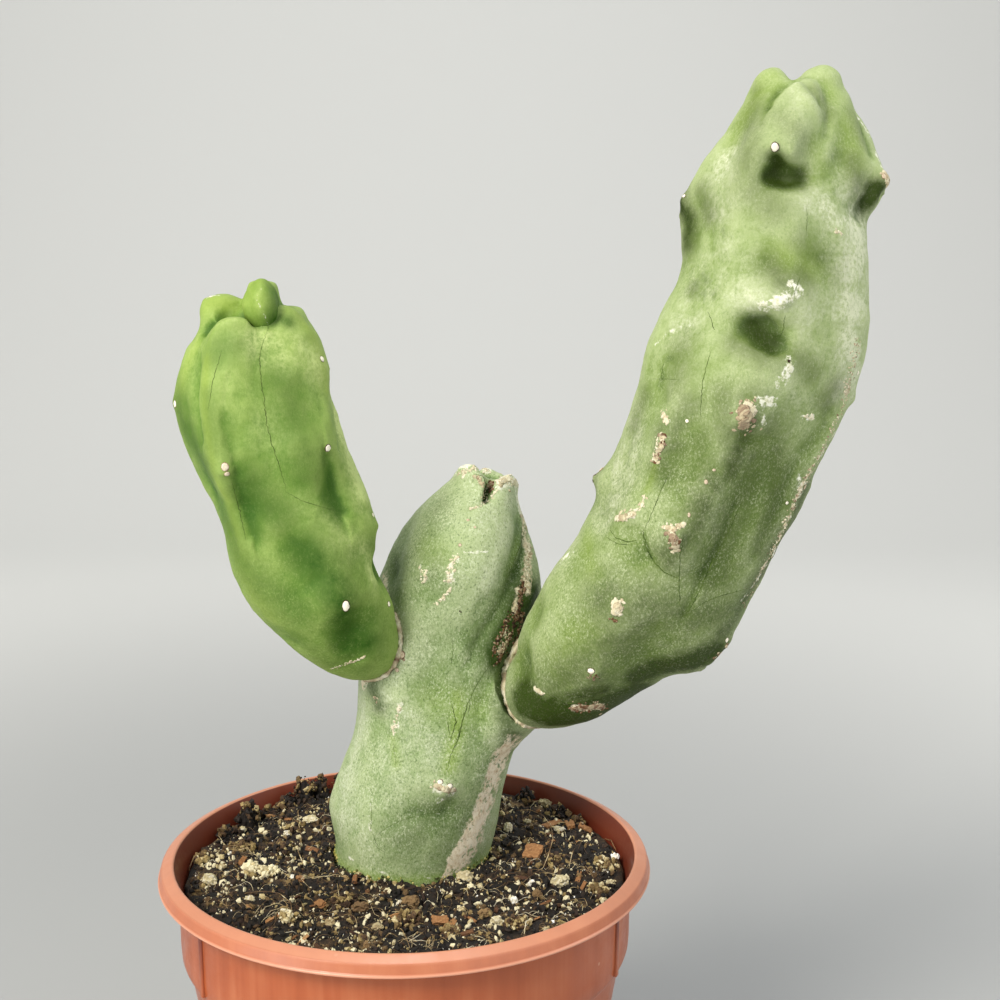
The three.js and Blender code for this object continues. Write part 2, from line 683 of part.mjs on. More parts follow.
function makeLeftArm() {
  return grownStem(leftArmForm).add(solidOf(new Stem(budForm).geometry()));
}

function makeRightArm() {
  return grownStem(rightArmForm);
}

function named(name, solid, colour, roughness) {
  const material = new THREE.MeshStandardMaterial({ color: colour, roughness, metalness: 0 });
  const mesh = new THREE.Mesh(geometryOf(solid), material);
  mesh.name = name;
  return mesh;
}

const group = new THREE.Group();
group.add(named('pot', makePot(), '#b8694a', 0.5));
group.add(named('soil', makeSoil(), '#2e2620', 0.95));
group.add(named('trunk', makeTrunk(), '#7f9a6c', 0.7));
group.add(named('left_arm', makeLeftArm(), '#7f9f46', 0.6));
group.add(named('right_arm', makeRightArm(), '#8ba56b', 0.65));

export default group;
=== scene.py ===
import math
import random
from functools import partial

import bpy
import numpy as np
from mathutils import Matrix, Vector, noise
from mathutils.bvhtree import BVHTree


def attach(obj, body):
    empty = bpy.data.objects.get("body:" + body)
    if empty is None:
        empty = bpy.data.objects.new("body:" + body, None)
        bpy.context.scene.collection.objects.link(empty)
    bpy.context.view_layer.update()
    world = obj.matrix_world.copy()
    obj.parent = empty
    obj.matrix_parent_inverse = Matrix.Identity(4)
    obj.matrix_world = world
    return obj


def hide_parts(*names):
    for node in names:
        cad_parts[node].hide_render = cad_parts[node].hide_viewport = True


# A monstrose senita cactus in its nursery pot, drawn in metres round the solids of the frame.
# Sizes in the dictionaries are in millimetres unless a note says otherwise.

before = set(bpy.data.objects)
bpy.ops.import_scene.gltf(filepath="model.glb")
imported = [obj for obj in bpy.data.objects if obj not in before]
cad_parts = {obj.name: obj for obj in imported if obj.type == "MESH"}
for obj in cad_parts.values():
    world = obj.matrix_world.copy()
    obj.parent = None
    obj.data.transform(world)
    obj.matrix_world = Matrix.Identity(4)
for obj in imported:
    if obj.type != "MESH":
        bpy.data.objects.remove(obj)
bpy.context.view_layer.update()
mm = 0.001

cameraLook = {
    "place": (27, -408.5, 289.9),
    "pitch": 9.83,  # degrees below the horizon
    "lens": 54,
    "sensor": 36,
    "picture": 1000,  # pixels along each side
    "depths": (330, 520, 4),  # where a ray that misses looks for the nearest skin
}


# Colours and nodes

def linear(code):  # an sRGB hex colour as linear RGBA
    parts = [int(code[i:i + 2], 16) / 255 for i in (1, 3, 5)]
    return [*(p / 12.92 if p <= 0.04045 else ((p + 0.055) / 1.055) ** 2.4 for p in parts), 1]


def addNode(tree, kind, inputs=None, stops=(), **settings):  # stops are a ramp's positions and colours
    node = tree.nodes.new("ShaderNode" + kind)
    for name, value in settings.items():
        setattr(node, name, value)
    for number, (position, code) in enumerate(stops):
        step = node.color_ramp.elements[0] if number == 0 else node.color_ramp.elements.new(position)
        step.position = position
        step.color = linear(code)
    if stops:
        node.color_ramp.elements.remove(node.color_ramp.elements[-1])
    for name, value in (inputs or {}).items():
        if isinstance(value, str):
            value = linear(value)
        if isinstance(value, bpy.types.Node):
            value = value.outputs[0]
        if isinstance(value, bpy.types.NodeSocket):
            tree.links.new(value, node.inputs[name])
        else:
            node.inputs[name].default_value = value
    return node


def newMaterial(name):  # a material without nodes, and addNode for its own tree
    material = bpy.data.materials.new(name)
    material.use_nodes = True
    material.node_tree.nodes.clear()
    return material, partial(addNode, material.node_tree)


def perMm(size):  # the noise scale that gives features of about this size
    return 1000 / size


# Meshes

def pickOnly(piece):
    bpy.ops.object.select_all(action="DESELECT")
    piece.select_set(True)
    bpy.context.view_layer.objects.active = piece


def applyModifier(piece, kind, **settings):
    pickOnly(piece)
    modifier = piece.modifiers.new("step", kind)
    for name, value in settings.items():
        setattr(modifier, name, value)
    bpy.ops.object.modifier_apply(modifier=modifier.name)


def newShape(addShape, **settings):  # a primitive, added with nothing else selected
    bpy.ops.object.select_all(action="DESELECT")
    addShape(**settings)
    return bpy.context.object


def editAll():
    bpy.ops.object.mode_set(mode="EDIT")
    bpy.ops.mesh.select_all(action="SELECT")


def mergeDoubles(piece, near, outwards=False):  # and turns the faces outwards where that is asked
    pickOnly(piece)
    editAll()
    bpy.ops.mesh.remove_doubles(threshold=near)
    if outwards:
        bpy.ops.mesh.normals_make_consistent(inside=False)
    bpy.ops.object.mode_set(mode="OBJECT")


def dress(piece, material):
    piece.data.materials.clear()
    piece.data.materials.append(material)


def relief(piece, size, strength, group=""):  # soft lumps of one size, pushed along the normals
    lumps = bpy.data.textures.new("lumps", "CLOUDS")
    lumps.noise_scale = size * mm
    applyModifier(piece, "DISPLACE", texture=lumps, strength=strength * mm, vertex_group=group,
                  mid_level=0.5)
    bpy.data.textures.remove(lumps)


def copyNode(node, name):
    piece = bpy.data.objects.new(name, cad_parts[node].data.copy())
    bpy.context.scene.collection.objects.link(piece)
    piece.data.materials.clear()
    mergeDoubles(piece, 0.000001)
    return piece


def placesOf(mesh):
    places = np.empty(len(mesh.vertices) * 3)
    mesh.vertices.foreach_get("co", places)
    return places.reshape(-1, 3)


def normalsOf(mesh):
    normals = np.empty(len(mesh.vertices) * 3)
    mesh.vertex_normals.foreach_get("vector", normals)
    return normals.reshape(-1, 3)


def movePoints(piece, places):
    piece.data.vertices.foreach_set("co", places.ravel())
    piece.data.update()


def paint(piece, name, values):
    attribute = piece.data.attributes.new(name, "FLOAT", "POINT")
    attribute.data.foreach_set("value", np.asarray(values, np.float32))


def paintClouds(piece, middle, depth, size):  # a shade that drifts between soft patches
    places = placesOf(piece.data)
    paint(piece, "shade", [middle + depth * noise.noise(Vector(place) / (size * mm)) for place in places])


def smoothShade(piece):
    pickOnly(piece)
    bpy.ops.object.shade_smooth()


def surfaceOf(piece):
    faces = [list(face.vertices) for face in piece.data.polygons]
    return BVHTree.FromPolygons(placesOf(piece.data).tolist(), faces)


# The photo's view

pitch = math.radians(cameraLook["pitch"])
focal = cameraLook["lens"] / cameraLook["sensor"] * cameraLook["picture"]  # in pixels
middle = cameraLook["picture"] / 2


def makeCamera():
    data = bpy.data.cameras.new("photoCamera")
    data.lens = cameraLook["lens"]
    data.sensor_width = cameraLook["sensor"]
    camera = bpy.data.objects.new("photoCamera", data)
    camera.location = Vector(cameraLook["place"]) * mm
    camera.rotation_euler = (math.radians(90 - cameraLook["pitch"]), 0, 0)
    bpy.context.scene.collection.objects.link(camera)
    bpy.context.scene.camera = camera


def rayThrough(pixel):  # the direction from the camera through a pixel of the photo
    ahead = Vector((0, math.cos(pitch), -math.sin(pitch)))
    upwards = Vector((0, math.sin(pitch), math.cos(pitch)))
    return (ahead + Vector((1, 0, 0)) * ((pixel[0] - middle) / focal)
            + upwards * ((middle - pixel[1]) / focal)).normalized()


def onSkin(surface, pixel):  # the place and normal where a pixel meets a surface, or comes nearest to it
    start, ahead = Vector(cameraLook["place"]) * mm, rayThrough(pixel)
    place, normal, _, _ = surface.ray_cast(start, ahead)
    if place is None:
        spots = [start + ahead * (depth * mm) for depth in range(*cameraLook["depths"])]
        found = [surface.find_nearest(spot) for spot in spots]
        place, normal, _, _ = min(found, key=lambda one: one[3])
    return place, normal


def seenAt(places):  # the pixels where places are seen
    away = np.asarray(places) - np.array(cameraLook["place"]) * mm
    depth = away[..., 1] * math.cos(pitch) - away[..., 2] * math.sin(pitch)
    height = away[..., 1] * math.sin(pitch) + away[..., 2] * math.cos(pitch)
    return np.stack((middle + focal * away[..., 0] / depth, middle - focal * height / depth), axis=-1)


def onTheLeft(pixels, path):  # which pixels lie to the left of a path that runs downwards
    nearest, left = np.full(len(pixels), 1e9), np.zeros(len(pixels), bool)
    for start, end in zip(np.array(path), np.array(path)[1:]):
        along = end - start
        away = pixels - start
        share = np.clip(away @ along / (along @ along), 0, 1)
        gap = np.linalg.norm(away - share[:, None] * along, axis=1)
        closer = gap < nearest
        nearest = np.where(closer, gap, nearest)
        left = np.where(closer, along[0] * away[:, 1] - along[1] * away[:, 0] > 0, left)
    return left


def alongPixels(path, step=3.0):  # evenly spaced pixels along a path
    pixels = []
    for start, end in zip(path, path[1:]):
        count = max(1, round(math.dist(start, end) / step))
        for i in range(count):
            pixels.append(tuple(a + (b - a) * i / count for a, b in zip(start, end)))
    return [*pixels, path[-1]]


def distanceTo(places, line):  # from every place to a line of points
    points = [np.array(p) for p in line]
    if len(points) == 1:
        return np.linalg.norm(places - points[0], axis=1)
    nearest = np.full(len(places), 1e9)
    for start, end in zip(points, points[1:]):
        along = end - start
        share = np.clip(((places - start) @ along) / max(along @ along, 1e-12), 0, 1)
        nearest = np.minimum(nearest, np.linalg.norm(places - start - share[:, None] * along, axis=1))
    return nearest


def bell(values):
    return np.exp(-values ** 2)


makeCamera()
bpy.context.scene.view_settings.view_transform = "Standard"  # the colours below are the photo's own
print("camera done")


# The stems: fine copies of the solids, sculpted where the photo shows creases, hollows and lumps.
# A slide moves the skin bodily: the pixel at its middle, its reach and its move in mm. A mark follows
# pixels of the photo: the pixels, its width in mm, and how far it pushes in mm or how much it paints.
# Where it is sharp on one side, that side comes last: the photo's left or right of a path that runs
# downwards.

trunkLook = {
    "voxel": 0.7,
    "grain": (300, 240, 0.3),  # heights in mm between which the skin's grain fades upwards, and its least
    "joined": {},
    "slide": {
        "leftShoulder": ((402, 535), 6, (1.2, 0, 0)),
        "gapByLeftArm": ((388, 570), 6, (2.2, 0, 0)),
    },
    "push": {
        "holeInTip": ([(491, 483), (489, 490), (487, 498)], 1.1, -4.0),
        "cleftBelowHole": ([(487, 500), (482, 506), (470, 510)], 0.9, -0.6),
        "lipOverHole": ([(462, 470), (474, 465), (486, 468)], 1.7, 1.0),
        "curledLip": ([(478, 476), (485, 486), (484, 497)], 1.0, 0.9),
        "rightLip": ([(500, 482), (512, 478), (520, 486)], 1.6, 0.8),
        "grooveTop": ([(529, 520), (524, 545), (515, 570)], 2.6, -1.0, "left"),
        "groove": ([(514, 574), (505, 598), (492, 622), (474, 650)], 5, -1.0, "left"),
        "grooveBank": ([(512, 530), (502, 560), (488, 590)], 2.6, 0.5),
        "rightRib": ([(534, 520), (536, 560), (530, 600)], 2.4, 0.5),
        "bossHollow": ([(500, 690), (506, 700)], 4, -0.3),
        "dentBelowScab": ([(449, 804), (443, 812)], 2.6, -0.5),
        "scabShelf": ([(436, 784), (452, 788)], 2.4, 0.5),
        "waistCrease": ([(376, 838), (394, 822), (420, 813), (448, 811)], 2.4, -0.25),
        "leftBulge": ([(332, 808)], 6, 0.9),
        "leftGroove": ([(392, 560), (396, 600), (404, 640)], 3, -0.5),
    },
    # painted shade: the skin painted darker in the groove, beside and under the arms, under scabs, in the
    # tip's hole and low down
    "deep": {
        "grooveLine": ([(527, 522), (522, 550), (513, 575)], 1.8, 0.5),
        "grooveShade": ([(510, 572), (494, 606), (468, 642)], 7, 0.5, "left"),
        "innerShade": ([(528, 596), (514, 628), (500, 652)], 6, 1.6),
        "underArm": ([(500, 700), (508, 722), (512, 740)], 3.6, 0.8),
        "shoulderShade": ([(440, 506), (424, 545), (434, 572)], 6, 0.42),
        "leftShade": ([(392, 570), (392, 600), (396, 640)], 4.2, 0.4),
        "underScab": ([(450, 804), (444, 811)], 2.4, 0.45),
        "tipHole": ([(491, 485), (490, 491), (487, 498)], 0.95, 1.2),
        "lowBelly": ([(404, 842), (430, 822), (455, 830), (448, 850)], 8, 0.5),
        "middleBelt": ([(430, 650), (450, 676), (474, 684)], 5, 0.25),
        "middle": ([(440, 590), (428, 640), (424, 680)], 7, 0.3),
        "belowLeftArm": ([(372, 688), (379, 706)], 3, 0.8),
    },
    # pale marks: a thicker bloom, and painted light on faces turned from the lamps
    "pale": {
        "chest": ([(480, 520), (466, 560)], 6, 0.25),
        "rightChest": ([(510, 495), (504, 520), (502, 545), (490, 580)], 5, 1.4),
        "waistHaze": ([(384, 700), (410, 722), (432, 756)], 7, 0.8),
        "leftFlank": ([(362, 700), (352, 750), (346, 820)], 6, 1.4),
        "belly": ([(400, 745), (395, 780)], 8, 0.5),
        "joint": ([(400, 645), (408, 660)], 4, 0.5),
        "rightFoot": ([(500, 775), (490, 820)], 5, 1.0),
    },
    "fresh": {
        "greenStreaks": ([(458, 695), (456, 735), (449, 768)], 2.6, 0.9),
        "greenField": ([(436, 700), (476, 706)], 6, 0.5),
        "greenShoulder": ([(425, 548), (440, 556)], 5, 0.5),
        "lowStreak": ([(393, 740), (396, 765)], 1.6, 0.6),
        "rightEdgeGreen": ([(515, 545), (507, 572)], 2.6, 0.6),
    },
    "bark": {
        "rightFoot": ([(500, 752), (489, 780), (480, 806), (468, 836), (452, 860)], 7.5, 0.85, "left"),
        "rightRibTop": ([(526, 518), (529, 550), (527, 590)], 2.3, 0.56),
        "rightRibLow": ([(519, 590), (515, 612)], 1.3, 0.6),
        "rightRibEnd": ([(507, 632), (500, 658)], 2.4, 0.42),
        "bossBark": ([(512, 708), (524, 718)], 2.2, 0.8),
        "leftFlankBark": ([(384, 575), (386, 600)], 2.0, 0.55),
        "leftJoint": ([(364, 684), (378, 670), (388, 652)], 2.0, 1.0),
        "behindTip": ([(526, 512), (531, 530)], 1.8, 0.9),
    },
    "chalk": {
        "scabUnderShoulder": ([(420, 568), (426, 578)], 1.5, 0.5),
        "rightLip": ([(504, 482), (518, 484), (521, 512)], 2.2, 1.1),
        "streakTop": ([(456, 560), (450, 574), (452, 580)], 1.4, 0.5),
        "flakeLine": ([(462, 553), (488, 552)], 0.7, 0.5),
        "flakeField": ([(480, 520), (490, 545)], 6, 0.26),
        "oldStreak": ([(401, 704), (397, 720), (394, 732)], 2.0, 0.44),
        "flankStreak": ([(371, 800), (370, 830)], 1.2, 0.4),
        "aboveFoot": ([(434, 786), (452, 792), (440, 800)], 2.2, 0.5),
        "lipCrust": ([(456, 474), (468, 468), (486, 470)], 1.6, 0.8),
        "rightCrust": ([(500, 484), (512, 480), (518, 500)], 2.8, 0.6),
        "rightEdgeNet": ([(534, 530), (540, 560)], 2.6, 0.4),
        "footLine": ([(334, 842), (350, 858), (380, 872), (430, 878)], 0.8, 0.5),
    },
}

leftArmLook = {
    "voxel": 0.62,
    "grain": (260, 150, 0.3),
    "joined": {  # pixel, half sizes across, deep and high, and how far behind the skin its middle lies
        "bud": ((262, 306), (4.4, 4.6, 5.6), 5.2),
        "topLobe": ((224, 306), (5.6, 4.5, 3.4), 4.0),
    },
    "slide": {
        "notch": ((381, 572), 4.5, (-2.2, 0, 0)),
        "lowRim": ((285, 640), 8, (0.6, 0, 1.2)),
        "lowEnd": ((340, 672), 6, (0, 0, 0.8)),
        "leftWaist": ((205, 485), 6, (2.0, 0, 0)),
        "beak": ((371, 545), 3.5, (1.2, 0, 0)),
        "rightShoulder": ((302, 305), 4, (-0.7, 0, -1.1)),
    },
    "push": {
        "frontLobeLip": ([(213, 338), (220, 328), (232, 322), (246, 323), (258, 328), (266, 331)], 1.7, 1.0),
        "behindFrontLobe": ([(206, 330), (214, 321), (228, 314), (242, 314), (254, 321)], 1.6, -1.9),
        "budSeam": ([(243, 312), (252, 323), (262, 330), (274, 326), (283, 312)], 1.0, -0.8),
        "underLip": ([(222, 345), (240, 340)], 4, -0.5),
        "frontCrest": ([(232, 366), (226, 396)], 3, 0.5),
        "ribValley": ([(228, 380), (224, 420), (228, 445)], 3.4, -0.5, "left"),
        "yellowRib": ([(212, 350), (209, 390), (210, 430), (218, 470), (230, 510), (242, 545)], 2.2, 0.4),
        "leftOfRib": ([(200, 366), (197, 400), (202, 440)], 3.0, -0.8, "right"),
        "hollowByPinkAreole": ([(236, 480), (242, 505), (250, 535)], 5.4, -1.4, "left"),
        "rearStep": ([(336, 398), (337, 425), (340, 448)], 1.8, -1.2, "left"),
        "frontEdge": ([(326, 392), (328, 420)], 2.0, 0.6),
        "hollowByWhiteAreole": ([(330, 458), (335, 480), (344, 512)], 5.4, -1.4, "right"),
        "rearRib": ([(338, 415), (352, 455), (366, 500)], 2.6, 0.4),
        "middleHollow": ([(296, 550), (312, 580)], 6, -1.3),
        "lowHollow": ([(352, 618), (352, 646)], 5.4, -1.2),
        "rightKnob": ([(333, 366)], 2.6, -0.7),
    },
    # painted shade: the skin painted darker in the hollows by the areoles, under the lip, low down and along
    # the edges
    "deep": {
        "pinkAreoleShade": ([(238, 482), (243, 505), (250, 532)], 5.6, 0.65, "left"),
        "whiteAreoleShade": ([(330, 456), (334, 480), (343, 510)], 5.4, 0.55, "right"),
        "whiteAreoleSpot": ([(326, 458), (328, 466)], 1.8, 0.7),
        "pinkAreoleSpot": ([(235, 482), (238, 488)], 1.8, 0.7),
        "middleShade": ([(310, 556), (328, 578), (340, 602)], 7, 0.95),
        "middleBand": ([(248, 484), (262, 505), (276, 514)], 6.5, 0.7),
        "upperMiddle": ([(284, 384), (302, 440), (306, 476)], 5.5, 0.6),
        "lowLeft": ([(226, 520), (240, 560), (262, 588), (300, 612)], 7, 0.6),
        "lowShade": ([(344, 618), (348, 650), (366, 644)], 6, 1.0),
        "lowShadeRight": ([(375, 620), (372, 645)], 5, 0.5),
        "lowRim": ([(300, 640), (330, 660), (360, 668)], 4, 0.5),
        "budFoot": ([(262, 322), (280, 318), (288, 322)], 2.2, 0.8),
        "leftEdge": ([(178, 405), (190, 435), (204, 462)], 6, 0.75),
        "leftOfRib": ([(204, 425), (208, 455)], 3.4, 0.4),
        "underLip": ([(216, 352), (236, 346)], 5, 0.5),
        "besideRib": ([(208, 395), (214, 450)], 3, 0.45),
        "ribShade": ([(222, 420), (230, 470)], 2.6, 0.4),
        "rightEdge": ([(372, 545), (374, 560)], 3, 0.5),
    },
    # pale marks: a thicker bloom, and painted light on faces turned from the lamps
    "pale": {
        "topRight": ([(256, 342), (286, 350), (320, 366)], 5, 2.6),
        "ribCrest": ([(230, 375), (228, 400)], 2.2, 0.6),
        "rearRib": ([(334, 405), (350, 450), (364, 495)], 4.2, 4.0),
        "beak": ([(366, 550), (376, 582)], 3, 3.0),
        "hazyBelt": ([(322, 526), (346, 540), (356, 556)], 5, 1.1),
        "hazyWaist": ([(296, 506), (304, 530)], 3.4, 0.6),
        "middle": ([(262, 420), (270, 440)], 6, 0.7),
        "leftFace": ([(194, 350), (190, 380)], 4, 0.5),
        "lip": ([(218, 328), (232, 322), (246, 323), (262, 330)], 0.8, 0.9),
    },
    "fresh": {
        "yellowRib": ([(208, 360), (206, 410), (212, 450), (222, 490), (238, 535)], 1.5, 0.55),
        "lowLeft": ([(236, 540), (246, 580), (268, 616)], 4, 0.35),
        "topLobe": ([(212, 303), (235, 306)], 3.6, 0.7),
        "rightEdge": ([(300, 318), (318, 345), (326, 385)], 3.4, 0.5),
        "budTop": ([(252, 292), (262, 284)], 2.4, 0.6),
        "leftRim": ([(196, 345), (182, 385)], 3, 0.4),
    },
    "bark": {},
    "chalk": {
        "topLobeRidge": ([(205, 297), (212, 294), (222, 295)], 0.5, 0.6),
        "hazeStreak": ([(310, 530), (345, 545)], 5, 0.2),
    },
}

